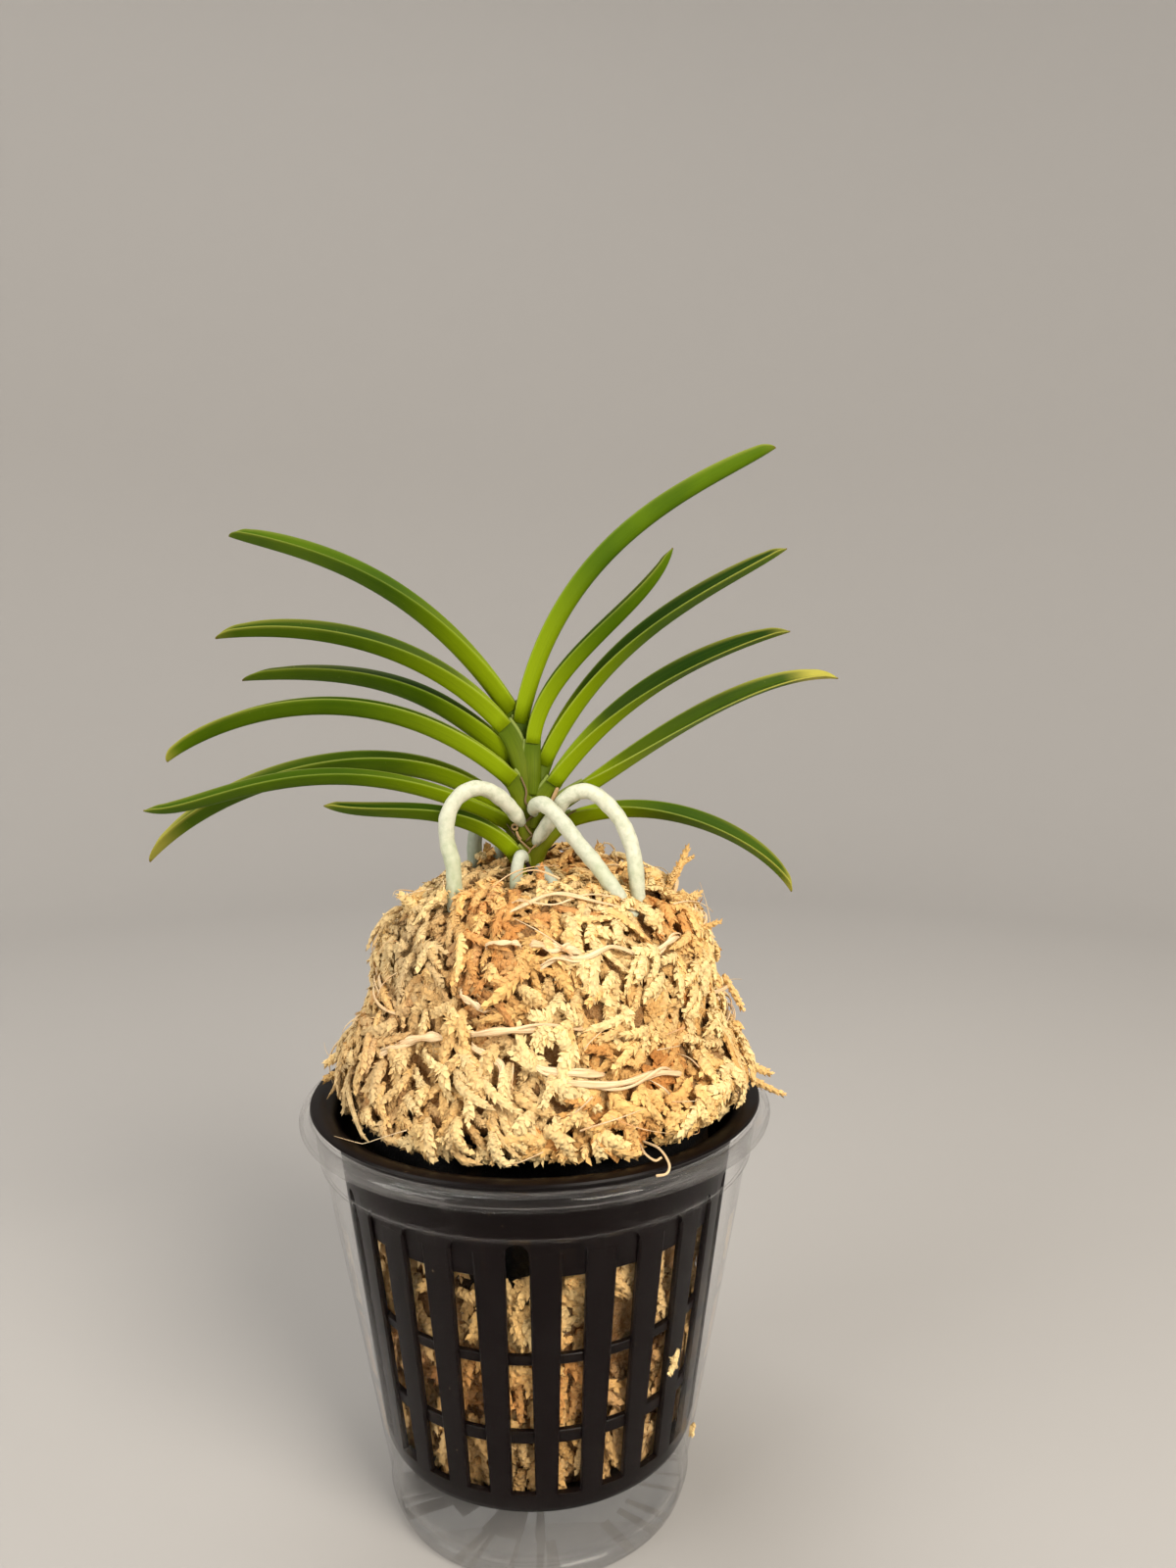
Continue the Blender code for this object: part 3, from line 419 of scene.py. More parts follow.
def add_piece(name, skin, material, *nodes, sharp=None):
    """Puts a skin into the scene as one smooth piece that rides on the model and stands for the named
    nodes."""
    mesh = bpy.data.meshes.new(name)
    mesh.vertices.add(len(skin.points))
    mesh.vertices.foreach_set("co", (skin.points * MM).astype(np.float32).ravel())
    corners = np.concatenate([skin.quads.ravel(), skin.tris.ravel()])
    mesh.loops.add(len(corners))
    mesh.loops.foreach_set("vertex_index", corners.astype(np.int32))
    quads, tris = len(skin.quads), len(skin.tris)
    starts = np.concatenate([np.arange(quads) * 4, quads * 4 + np.arange(tris) * 3])
    mesh.polygons.add(len(starts))
    mesh.polygons.foreach_set("loop_start", starts.astype(np.int32))
    mesh.update(calc_edges=True)
    mesh.uv_layers.new(name="UVMap").data.foreach_set("uv", skin.uv.astype(np.float32).ravel())
    for key, value in skin.values.items():
        mesh.attributes.new(key, "FLOAT", "POINT").data.foreach_set("value", value.astype(np.float32))
    mesh.shade_smooth()
    if sharp:
        mesh.set_sharp_from_angle(angle=math.radians(sharp))
    mesh.materials.append(material)
    obj = put(name, mesh)
    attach(obj, "root")
    if nodes:
        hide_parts(*nodes)
    return obj


# Materials. Sums and products of sockets become Math nodes.

CRUMB = (0.25, 0.19, 0.12)
DULL_GREEN = (0.015, 0.025, 0.01)
# Near black painted shade for the core's hollows.
HOLLOW_SHADE = (0.002, 0.0015, 0.0015)
TIP_BROWN = (0.16, 0.08, 0.03)
PAPER_EDGE = (0.30, 0.36, 0.10)
STAIN_BROWN = (0.16, 0.09, 0.03)
HUSK_DARK = (0.016, 0.008, 0.006)


class Number:
    """A socket that carries one number, with the arithmetic that the materials use."""

    def __init__(self, graph, socket):
        self.graph = graph
        self.socket = socket

    def math(self, operation, *values):
        return self.graph.node("Math", {"operation": operation}, dict(enumerate(values)))

    def __add__(self, other):
        return self.math("ADD", self, other)

    __radd__ = __add__

    def __sub__(self, other):
        return self.math("SUBTRACT", self, other)

    def __rsub__(self, other):
        return self.math("SUBTRACT", other, self)

    def __mul__(self, other):
        return self.math("MULTIPLY", self, other)

    __rmul__ = __mul__

    def __truediv__(self, other):
        return self.math("DIVIDE", self, other)

    def sine(self):
        return self.math("SINE", self)

    def clamped(self):
        return self.graph.node("Clamp", {}, {"Value": self})

    def step(self, low, high):
        """Nothing below low and one above high, smooth between them. A high below low turns it round."""
        if high < low:
            return 1.0 - self.step(high, low)
        values = {"Value": self, "From Min": low, "From Max": high}
        return self.graph.node("MapRange", {"interpolation_type": "SMOOTHSTEP"}, values)


class Graph:
    """The nodes of one material: a Principled shader and what feeds it."""

    def __init__(self, name, **constants):
        self.material = bpy.data.materials.new(name)
        self.material.use_nodes = True
        self.tree = self.material.node_tree
        self.shader = self.tree.nodes["Principled BSDF"]
        self.place = self.node("TexCoord", {}, {}, "Object")
        self.finish(**constants)

    def node(self, kind, settings, inputs, output=0):
        """One node: its kind without the prefix, its settings, then the values or links of its sockets."""
        made = self.tree.nodes.new("ShaderNode" + kind)
        for key, value in settings.items():
            setattr(made, key, value)
        for key, value in inputs.items():
            self.feed(made.inputs[key], value)
        return Number(self, made.outputs[output])

    def feed(self, socket, value):
        """Links a Number, or sets a constant. A colour is given by three values."""
        if isinstance(value, Number):
            self.tree.links.new(value.socket, socket)
        else:
            socket.default_value = (*value, 1.0) if socket.type == "RGBA" else value

    def values(self, *names):
        """Named point values of the piece."""
        return [self.node("Attribute", {"attribute_name": name}, {}, "Fac") for name in names]

    def uv(self):
        return self.node("UVMap", {"uv_map": "UVMap"}, {})

    def stretched(self, vector, *scale):
        return self.node("VectorMath", {"operation": "MULTIPLY"}, {0: vector, 1: scale})

    def noise(self, scale, detail=3.0, roughness=0.55, vector=None):
        """Noise at a vector, or else at the place on the object, in metres."""
        values = {"Vector": vector or self.place, "Scale": scale, "Detail": detail, "Roughness": roughness}
        return self.node("TexNoise", {}, values, "Fac")

    def streaks(self, across, along, roughness):
        """Noise drawn out along a piece, which has this many periods across its u and along its v."""
        return self.noise(1.0, 3.0, roughness, self.stretched(self.uv(), across, along, 1.0))

    def mix(self, factor, first, second):
        """Two colours mixed by a factor."""
        return self.node("Mix", {"data_type": "RGBA"}, {"Factor": factor, 6: first, 7: second}, 2)

    def layers(self, colour, *coats):
        """A colour with others laid over it, each as (factor, colour)."""
        for factor, coat in coats:
            colour = self.mix(factor, colour, coat)
        return colour

    def bump(self, height, strength, distance):
        return self.node("Bump", {}, {"Height": height, "Strength": strength, "Distance": distance}, "Normal")

    def finish(self, **sockets):
        """Feeds the shader's sockets, with _ for a space in their names."""
        for key, value in sockets.items():
            self.feed(self.shader.inputs[key.replace("_", " ")], value)
        return self.material


def clear_plastic(settings):
    """Clear, faintly smoky plastic: a thin wall lets most light straight through, and more of it shows where
    it is seen at a slant or is thick. Rubbed and hazy patches vary its roughness."""
    graph = Graph("clear_plastic", IOR=1.46, Transmission_Weight=1.0)
    (thick,) = graph.values("thick")
    slant = graph.node("LayerWeight", {}, {"Blend": 0.5}, "Facing")
    haze = graph.noise(60.0, 4.0)
    rub = graph.noise(220.0, 2.0, vector=graph.stretched(graph.place, 1.0, 1.0, 8.0))
    return graph.finish(
        Base_Color=graph.mix((thick + 0.2 * haze).clamped(), settings.colour, settings.smoke),
        Roughness=0.02 + 0.04 * haze.step(0.45, 0.8) + 0.03 * rub.step(0.6, 0.8),
        Alpha=(settings.film + (0.45 - settings.film) * slant.step(0.6, 1.0) + thick).clamped(),
    )


def black_plastic(settings):
    """Black moulded plastic with a warm cast, fine flow marks round the pot and a dusting of dry moss
    crumbs."""
    graph = Graph("black_plastic", IOR=1.3, Specular_IOR_Level=0.2)
    flow = graph.noise(300.0, vector=graph.stretched(graph.place, 1.0, 1.0, 6.0))
    dust = graph.noise(900.0, 2.0).step(0.68, 0.8) * graph.noise(60.0, 2.0).step(0.45, 0.7)
    colour = graph.mix(flow, settings.colour, [c * 1.6 for c in settings.colour])
    return graph.finish(
        Base_Color=graph.mix(dust * 0.5, colour, CRUMB),
        Roughness=0.30 + 0.12 * flow + 0.3 * dust,
        Normal=graph.bump(flow, 0.04, 0.0002),
    )


def dried_moss(settings):
    """Dried shoots: cream to straw, orange-brown in patches, grey where old and, as painted shade, on the left
    side. Painted shade also darkens each shoot towards its root and the shoots that lie deep or low in the pot.

    Overlapping scales come from a lattice of skewed cells in the shoot's own UV: their height is the product
    of two sine waves that cross at a slant, and the hollows between them get painted shade."""
    graph = Graph("dried_moss", IOR=1.35)
    tone, grey, depth, along = graph.values("tone", "grey", "depth", "along")
    speck = graph.noise(1400.0, 3.0, 0.65)
    patch = graph.noise(260.0, 2.0)
    u, v = (graph.node("SeparateXYZ", {}, {0: graph.uv()}, axis) for axis in (0, 1))
    slip = 3.0 * graph.noise(500.0, 2.0)
    round_by, up_by = 18.85 * u, 36.0 * v
    scales = (0.5 + 0.5 * (round_by + up_by + slip).sine()) * (0.5 + 0.5 * (up_by - round_by + slip).sine())
    warm = (tone + 0.35 * (patch - 0.5)).clamped()
    # Painted shade: darker towards each shoot's root and in the hollows between its scales; the speck term is
    # random tone.
    shade = (0.8 + 0.2 * along.step(0.0, 0.35)) * (0.76 + 0.24 * scales) * (0.86 + 0.28 * speck)
    colour = graph.layers(
        settings.cream,
        (warm.step(0.0, 0.55), settings.straw),
        (warm.step(0.5, 1.0), settings.rust),
        # The grey value holds weathering and also painted shade on the mound's left side.
        (grey, settings.grey),
        # Painted shade in the shade colour, more where the factor above is low and on shoots that lie deep.
        (((1.0 - shade) * 0.7 + 0.3 * depth).clamped(), settings.shade),
    )
    return graph.finish(
        Base_Color=colour,
        Roughness=0.78 + 0.2 * speck,
        Normal=graph.bump(scales + 0.8 * speck, 0.8, 0.0004),
    )


def mound_core(settings):
    """What shows between the shoots: painted shade in dark brown, with litter and dull green in it, and near
    black painted shade where the hollow value is high.
    """
    graph = Graph("mound_core", IOR=1.3)
    coarse = graph.noise(160.0, 4.0, 0.7)
    fine = graph.noise(900.0, 3.0, 0.7)
    green = graph.noise(110.0, 2.0).step(0.6, 0.68)
    colour = graph.layers(
        settings.shade,
        ((coarse * 0.6 + fine * 0.5).step(0.35, 0.7), settings.litter),
        (green * 0.8, DULL_GREEN),
        (*graph.values("hollow"), HOLLOW_SHADE),
    )
    relief = graph.bump(coarse + fine, 1.0, 0.0015)
    return graph.finish(Base_Color=colour, Roughness=0.95 - 0.1 * fine, Normal=relief)


def straw_fibre(settings):
    """Stems of the moss: pale straw with pinkish brown streaks that run along them."""
    graph = Graph("straw_fibre", IOR=1.4)
    (tone,) = graph.values("tone")
    streak = graph.streaks(14.0, 2.5, 0.7)
    blotch = graph.noise(240.0, 2.0)
    colour = graph.layers(
        settings.fibre_dark,
        (streak.step(0.35, 0.65), settings.fibre),
        ((tone * blotch.step(0.4, 0.7)).clamped(), settings.rust),
    )
    relief = graph.bump(streak, 0.6, 0.0002)
    return graph.finish(Base_Color=colour, Roughness=0.7 + 0.2 * streak, Normal=relief)


def leaf_green(settings):
    """A waxy folded leaf: lime at its base, made brighter there as painted light shining through the leaf, deep
    green on, with painted shade inside the fold, a pale margin and tip."""
    graph = Graph("leaf_green", IOR=1.3, Specular_IOR_Level=0.18)
    along, across, inner, lime, gold, dark = graph.values("along", "across", "inner", "lime", "gold", "dark")
    cloud = graph.noise(55.0, 2.0)
    lines = graph.streaks(70.0, 2.2, 0.6)
    speck = graph.noise(1500.0, 2.0).step(0.68, 0.76) * graph.noise(160.0, 2.0).step(0.5, 0.68)
    green = graph.mix((cloud * 0.7 + lines * 0.3).step(0.3, 0.7), settings.deep, settings.green)
    fade = ((along - lime * 0.15) / (0.1 + 0.8 * lime)).clamped()
    ripe = (along - 0.1 * cloud + 0.14 * gold * gold).step(0.88, 1.0) * gold
    colour = graph.layers(
        # The lime base is the blade's own colour, made brighter as painted light shining through the leaf.
        settings.lime,
        (fade.step(0.0, 1.0), green),
        # Painted shade on the inner faces of the fold, as much as the leaf's dark value.
        (inner * dark * fade.step(0.0, 0.35), settings.inside),
        (across.step(0.95, 0.995) * (0.12 + 0.45 * gold), settings.margin),
        (lines.step(0.5, 0.75) * 0.3, settings.deep),
        (across.step(0.72, 0.97) * along.step(0.4, 0.98) * gold * 0.75, settings.gold),
        (ripe, settings.gold),
        (along.step(0.985, 1.0) * 0.6, TIP_BROWN),
        (speck * 0.35, settings.margin),
    )
    return graph.finish(
        Base_Color=colour,
        Roughness=0.40 + 0.14 * lines + 0.1 * cloud,
        Normal=graph.bump(lines + 0.4 * speck, 0.18, 0.0003),
    )


def sheath_green(settings):
    """The clasping sheath below a joint: green, olive when old, with a pale papery margin and brown stains
    low down."""
    graph = Graph("sheath_green", IOR=1.3, Specular_IOR_Level=0.3)
    along, across, old = graph.values("along", "across", "old")
    lines = graph.streaks(60.0, 2.0, 0.6)
    cloud = graph.noise(180.0, 2.0)
    colour = graph.layers(
        settings.sheath,
        ((old + 0.3 * (cloud - 0.5)).clamped(), settings.olive),
        (lines.step(0.35, 0.7) * 0.2, settings.lime),
        (along.step(0.45, 0.95) * 0.45, settings.deep),
        (across.step(0.84, 0.92) * 0.55, PAPER_EDGE),
        ((old * cloud.step(0.5, 0.68) * along.step(0.6, 0.05)).clamped() * 0.6, STAIN_BROWN),
    )
    relief = graph.bump(lines, 0.25, 0.0003)
    return graph.finish(Base_Color=colour, Roughness=0.42 + 0.2 * lines, Normal=relief)


def root_silver(settings):
    """The spongy skin of an aerial root: silver-white, mottled grey-green, greener towards the moss, and
    darker bluish grey as painted shade on the roots behind and under the plant.
    """
    graph = Graph("root_silver", IOR=1.42)
    along, blue = graph.values("along", "blue")
    mottle = graph.noise(650.0, 4.0, 0.65)
    cloud = graph.noise(130.0, 2.0)
    pits = graph.node("TexVoronoi", {}, {"Vector": graph.place, "Scale": 1500.0}, "Distance")
    colour = graph.layers(
        settings.root_shade,
        (mottle.step(0.2, 0.65), settings.root),
        # Painted shade: darker bluish grey on the roots behind and under the plant.
        (blue * 0.7, settings.root_in_shade),
        (along.step(0.45, 0.95) * cloud.step(0.3, 0.7) * 0.45, settings.root_green),
    )
    relief = graph.bump(mottle + 0.3 * pits, 0.3, 0.0003)
    return graph.finish(Base_Color=colour, Roughness=0.50 + 0.2 * mottle, Normal=relief)


def dry_husk(settings):
    """Dead bracts, sheath edges and scars: tan to dark brown, streaked along their length."""
    graph = Graph("dry_husk", IOR=1.3)
    (tone,) = graph.values("tone")
    streak = graph.streaks(9.0, 3.0, 0.7)
    colour = graph.mix((tone + 0.4 * (streak - 0.5)).clamped(), HUSK_DARK, settings.husk)
    relief = graph.bump(streak, 0.5, 0.0002)
    return graph.finish(Base_Color=colour, Roughness=0.7 + 0.2 * streak, Normal=relief)


def stage_paint(settings):
    graph = Graph("stage_paint")
    grain = graph.noise(12.0, 2.0)
    colour = graph.mix(grain, settings.colour, [c * 0.985 for c in settings.colour])
    return graph.finish(Base_Color=colour, Roughness=0.9 - 0.05 * grain)


def swatch(name, description, default):
    """A colour property."""
    return FloatVectorProperty(name=name, description=description, default=default, subtype="COLOR")


# The cup and the net pot.


def arc(centre, radius, start, end, count):
    """(radius, height) points on a circle, from one angle in degrees to another."""
    angle = np.radians(np.linspace(start, end, count))
    return np.stack([centre[0] + radius * np.cos(angle), centre[1] + radius * np.sin(angle)], axis=1).tolist()


def cup_radius(z):
    return CUP_FOOT_RADIUS + (CUP_SHOULDER_RADIUS - CUP_FOOT_RADIUS) * z / CUP_SHOULDER_Z


def pot_radius(z):
    share = (z - POT_BOTTOM_Z) / (POT_NECK_Z - POT_BOTTOM_Z)
    return POT_BOTTOM_RADIUS + (POT_NECK_RADIUS - POT_BOTTOM_RADIUS) * share


def half_pitch(z):
    """Half the way from one slot of the pot to the next, along its wall."""
    return np.pi * pot_radius(z) / SLOT_COUNT


def cup_skin(wall, steps):
    """The cup's wall as one closed profile turned round Z.

    Inside and outside run at radius a + b z, a wall apart. The stacking step adds or takes a smooth half
    step at its height, a faint ring runs above the foot, the rim is a hollow roll, and the foot is thick up
    to its ledge."""
    bead = (CUP_BEAD_RADIUS - CUP_SHOULDER_RADIUS + wall) / 2
    centre = (CUP_BEAD_RADIUS - bead, CUP_RIM_Z - bead)
    ledge = np.linspace(CUP_FOOT_HEIGHT, CUP_RING_Z + 2.0, 9)
    upper = np.linspace(CUP_STEP_Z - 0.9, CUP_STEP_Z + 0.9, 9)
    z = np.concatenate([ledge, np.linspace(12.0, CUP_STEP_Z - 1.2, 10), upper, [74.0, 76.0]])
    step = CUP_STEP_HALF * np.tanh((z - CUP_STEP_Z) / 0.35)
    step += CUP_STEP_BEAD * bell(z, CUP_STEP_Z, 0.5) + CUP_RING_HEIGHT * bell(z, CUP_RING_Z, 0.5)
    below = blend(0.0, 20.0, CUP_SHOULDER_Z - z)
    outside = np.stack([cup_radius(z) + step - CUP_STEP_HALF * (1 - below), z], axis=1)
    inside = outside - [wall, 0.0]
    floor = [
        (0.0, 1.0), (18.0, 1.0), (cup_radius(0) - wall - 2.4, 1.0), (cup_radius(0) - wall - 1.6, 1.3),
        (cup_radius(3) - wall - 0.9, 2.9), (cup_radius(CUP_FOOT_HEIGHT) - wall - 0.3, 3.7),
    ]
    rim = arc(centre, bead, 180.0, -40.0, 17) + arc(centre, bead - wall, -40.0, 180.0, 13)
    foot = [
        (cup_radius(CUP_FOOT_HEIGHT) + 0.12, 3.6), (cup_radius(2.0) + 0.1, 2.0),
        *arc((cup_radius(0) - 1.0, 1.0), 1.0, 0.0, -90.0, 6), (20.0, 0.0), (0.0, 0.0),
    ]
    skin = turned_skin([*floor, *inside.tolist(), *rim, *outside[::-1].tolist(), *foot], steps)
    z = skin.points[:, 2]
    thick = 0.14 * bell(z, CUP_STEP_Z, 0.6) + 0.2 * bell(z, CUP_RING_Z, 0.5) + 0.32 * blend(5.0, 3.5, z)
    return skin.spread(thick=thick + 0.22 * blend(CUP_SHOULDER_Z - 0.4, CUP_SHOULDER_Z + 0.6, z))


class ORCHID_PG_cup(bpy.types.PropertyGroup):
    wall: FloatProperty(name="Wall", description="Thickness of the cup's wall", default=0.0006, unit="LENGTH")
    steps: IntProperty(name="Steps", description="Faces round the cup", default=160, min=24)
    colour: swatch("Colour", "Tint of the plastic", (0.92, 0.93, 0.92))
    film: FloatProperty(name="Film", description="How much of the wall shows", default=0.01, min=0.0, max=1.0)
    smoke: swatch("Smoke", "Tint of the thick rim and foot", (0.60, 0.56, 0.52))


class ORCHID_OT_cup(bpy.types.Operator):
    """Build the clear cup"""

    bl_idname = "orchid.cup"
    bl_label = "Clear cup"

    def execute(self, context):
        settings = context.scene.orchid_cup
        skin = cup_skin(settings.wall / MM, settings.steps)
        add_piece("clear_cup", skin, clear_plastic(settings), "cup", sharp=40)
        return {"FINISHED"}


def bar_skin(centre):
    """One upright bar of the pot: a rounded box whose outer face follows the pot's wall.

    At height z a section runs round the bar: to half its width on each side, on the outside at radius R(z),
    then back on the inside a wall further in, with the corners drawn in."""
    z = np.linspace(*BAR_ENDS, 14)
    radius = pot_radius(z)[:, None]
    across = np.array([-1.0, -0.86, -0.4, 0.0, 0.4, 0.86, 1.0, 1.0, 0.7, -0.7, -1.0])
    inset = np.array([0.28, 0.0, 0.0, 0.0, 0.0, 0.0, 0.28, 0.9, 1.0, 1.0, 0.9])
    angle = math.radians(centre) + across * (half_pitch(z) - SLOT_WIDTH / 2)[:, None] / radius
    return loop_skin(around(radius - inset * POT_WALL, angle, z[:, None]))


def hoop_skin(low, high, gap, steps):
    """A flat hoop 1 mm thick, a little behind the bars' faces: a section with rounded front edges, carried
    round Z. With a gap, in degrees, it stops that far on each side of the front slot."""
    z = np.array([low, low + 0.15, high - 0.15, high, high, low])
    radius = pot_radius(z) - HOOP_INSET - np.array([0.15, 0.0, 0.0, 0.15, 1.0, 1.0])
    if not gap:
        return turned_skin(np.stack([radius, z], axis=1)[::-1], steps)
    angle = np.radians(FRONT_SLOT + np.linspace(gap, 360.0 - gap, steps))[:, None]
    return loop_skin(around(radius, angle, z)[:, ::-1])


def arch_skin(centre, top):
    """The pot's wall above one slot, between the slot's round head and the plain neck.

    The lower edge is the slot's head, a half circle of the slot's width, with the bar's end beside it, and
    the upper edge is the neck. The wall is ruled between the two, in four rows, and closed by its two
    skins."""
    half = SLOT_WIDTH / 2
    head = SLOT_HEIGHTS[1] - half
    turn = np.radians(np.linspace(180, 0, 17))
    low = np.concatenate([[head], head + half * np.sin(turn), [head]])
    z = low + (top - low) * np.linspace(0, 1, 5)[:, None]
    across = np.tile(half * np.cos(np.pad(turn, 1)), (5, 1))
    across[:, 0] = -half_pitch(z[:, 0])
    across[:, -1] = half_pitch(z[:, -1])
    radius = pot_radius(z)
    angle = math.radians(centre) + across / radius
    inner = around(radius - POT_WALL, angle, z)
    rings = np.concatenate([around(radius, angle, z), inner[::-1]]).transpose(1, 0, 2)
    return loop_skin(rings[::-1])


def pot_skin(steps):
    """The net pot: a lip and neck turned round Z, bars and arches between the slots, hoops behind the bars,
    a floor."""
    neck = SLOT_HEIGHTS[1] + 1.2
    rim = [
        (pot_radius(neck) - POT_WALL, neck), (POT_NECK_RADIUS - POT_WALL, POT_NECK_Z), *POT_LIP,
        (POT_NECK_RADIUS, POT_NECK_Z), (pot_radius(neck), neck),
    ]
    skins = [turned_skin(rim, steps)]
    skins += [hoop_skin(low, high, 0.0, steps) for low, high in HOOPS[:-1]]
    skins.append(hoop_skin(*HOOPS[-1], math.degrees((SLOT_WIDTH / 2 + HOOP_INSET) / POT_NECK_RADIUS), steps))
    inside = POT_BOTTOM_Z + POT_WALL
    base = [
        (0.0, inside), (pot_radius(17.4) - POT_WALL, inside), (pot_radius(18.7) - POT_WALL, 18.7),
        (pot_radius(18.7), 18.7), (pot_radius(16.2), 16.2), (POT_BOTTOM_RADIUS - 0.3, POT_BOTTOM_Z + 0.4),
        (POT_BOTTOM_RADIUS - 0.9, POT_BOTTOM_Z), (0.0, POT_BOTTOM_Z),
    ]
    skins.append(turned_skin(base, steps))
    pitch = 360.0 / SLOT_COUNT
    for i in range(SLOT_COUNT):
        slot = FRONT_SLOT + i * pitch
        skins += [bar_skin(slot + pitch / 2), arch_skin(slot, neck)]
    return joined(skins)


class ORCHID_PG_pot(bpy.types.PropertyGroup):
    steps: IntProperty(name="Steps", description="Faces round the lip and the hoops", default=144, min=24)
    colour: swatch("Colour", "Colour of the plastic", (0.0028, 0.0014, 0.0014))


class ORCHID_OT_pot(bpy.types.Operator):
    """Build the slotted net pot"""

    bl_idname = "orchid.pot"
    bl_label = "Net pot"

    def execute(self, context):
        settings = context.scene.orchid_pot
        add_piece("slotted_pot", pot_skin(settings.steps), black_plastic(settings), "net_pot", sharp=35)
        return {"FINISHED"}


# The leaves.


def hermite(start, end, start_pull, end_pull, t):
    """The cubic (2t^3 - 3t^2 + 1) start + (t^3 - 2t^2 + t) start pull + (3t^2 - 2t^3) end + (t^3 - t^2) end
    pull."""
    t = t[:, None]
    return (
        (2 * t**3 - 3 * t**2 + 1) * start
        + (t**3 - 2 * t**2 + t) * start_pull
        + (3 * t**2 - 2 * t**3) * end
        + (t**3 - t**2) * end_pull
    )


def direction(degrees):
    return np.array([math.cos(math.radians(degrees)), math.sin(math.radians(degrees))])


def rank_side(leaf):
    """-1 for a leaf of the left rank, 1 for one of the right."""
    return -1.0 if leaf.tip[0] < leaf.joint[0] else 1.0


def in_fan(flat, y, t, side):
    """A keel from its (x, z) and y, and the unit vector from keel to margin: the tangent turned by 90
    degrees in the plane of the fan."""
    along = unit(np.gradient(flat, t, axis=0))
    keel = np.stack([flat[:, 0], y, flat[:, 1]], axis=1)
    return keel, np.stack([-along[:, 1] * side, 0 * y, along[:, 0] * side], axis=1)


def half_width(leaf, t):
    """Half the blade's width: 0.78 of full at the joint, full at the middle, and (1 - t^(1.4 power))^0.45 of
    it to the tip."""
    body = 0.78 + 0.22 * np.sin(np.pi * np.clip(t / 0.9, 0, 1)) ** 0.8
    tip = (1 - np.clip(t, 0, 1) ** (1.4 * leaf.power)) ** 0.45
    return np.maximum(leaf.half_width * body * tip, 0.2)


def summed(values, step):
    """The running sum along s of values times the step, from nothing at the keel."""
    return np.cumsum(np.pad(values * step, ((0, 0), (1, 0))), axis=1)


def blade_skin(leaf, stations=64, span=8):
    """A folded strap leaf.

    Each half of a section starts square to the fold at the keel and turns within a millimetre to its opening
    angle: the angle at distance s is full + (90 - full) e^(-s / 0.45), and its cosine and sine are summed
    along s. The two skins stand half the thickness off that line, which is raised so that the outer fold
    lies on the keel."""
    t = 1 - (1 - np.linspace(0, 1, stations)) ** 1.5
    t[0] = -0.012
    clipped = np.clip(t, 0, 1)
    chord = math.dist(leaf.joint, leaf.tip)
    pulls = direction(leaf.rise) * leaf.pulls[0] * chord, direction(leaf.fall) * leaf.pulls[1] * chord
    flat = hermite(np.array(leaf.joint), np.array(leaf.tip), *pulls, t)
    y = leaf.depths[0] + (leaf.depths[1] - leaf.depths[0]) * clipped**1.5
    keel, up = in_fan(flat, y, t, rank_side(leaf))
    opening = np.sin(np.pi * clipped**0.7 * 0.62)
    share = np.linspace(0, 1, span) ** 1.25
    width = half_width(leaf, t)[:, None]
    s = share * np.maximum(width - 0.3, 0.6 * width)
    step = np.diff(s, axis=1)
    thick = (0.52 - 0.15 * t)[:, None] * (1.0 - 0.7 * share) * (1 - 0.6 * blend(0.93, 1.0, t))[:, None]
    ridge = 1.0 + 0.3 * bell(s, 0.0, 0.5)
    keel = keel + up * thick[:, :1] * 1.3
    outer, inner, edge = [], [], []
    for sign, full in zip((1.0, -1.0), leaf.opening):
        full = np.radians(11.0 + (full - 11.0) * opening)[:, None]
        angle = full + (np.pi / 2 - full) * np.exp(-s / 0.45)
        middle = (angle[:, 1:] + angle[:, :-1]) / 2
        rise, reach = summed(np.cos(middle), step), summed(np.sin(middle), step)
        line = keel[:, None] + up[:, None] * rise[..., None] + FRONT * (sign * reach)[..., None]
        way = up[:, None] * np.cos(angle)[..., None] + FRONT * (sign * np.sin(angle))[..., None]
        skin = FRONT * (sign * np.cos(angle))[..., None] - up[:, None] * np.sin(angle)[..., None]
        outer.append(line + skin * (thick * ridge)[..., None])
        inner.append(line - skin * thick[..., None])
        edge.append(line[:, -1:] + way[:, -1:] * thick[:, -1:, None])
    rings = [outer[0][:, ::-1], outer[1][:, 1:], edge[1], inner[1][:, ::-1], inner[0][:, 1:], edge[0]]
    turn = int(rank_side(leaf))
    cross = np.concatenate([share[::-1], share[1:], [1.0], share[::-1], share[1:], [1.0]])[::turn]
    within = np.repeat([0.0, 0.5, 1.0, 0.5], [2 * span - 1, 1, 2 * span - 1, 1])[::turn]
    return loop_skin(np.concatenate(rings, axis=1)[:, ::turn]).spread(
        along=np.concatenate([np.repeat(clipped, len(cross)), [0.0, 1.0]]),
        across=np.concatenate([np.tile(cross, stations), [0.5, 0.5]]),
        inner=np.concatenate([np.tile(within, stations), [0.5, 0.5]]),
        lime=leaf.lime,
        gold=leaf.gold,
        dark=leaf.dark,
    )


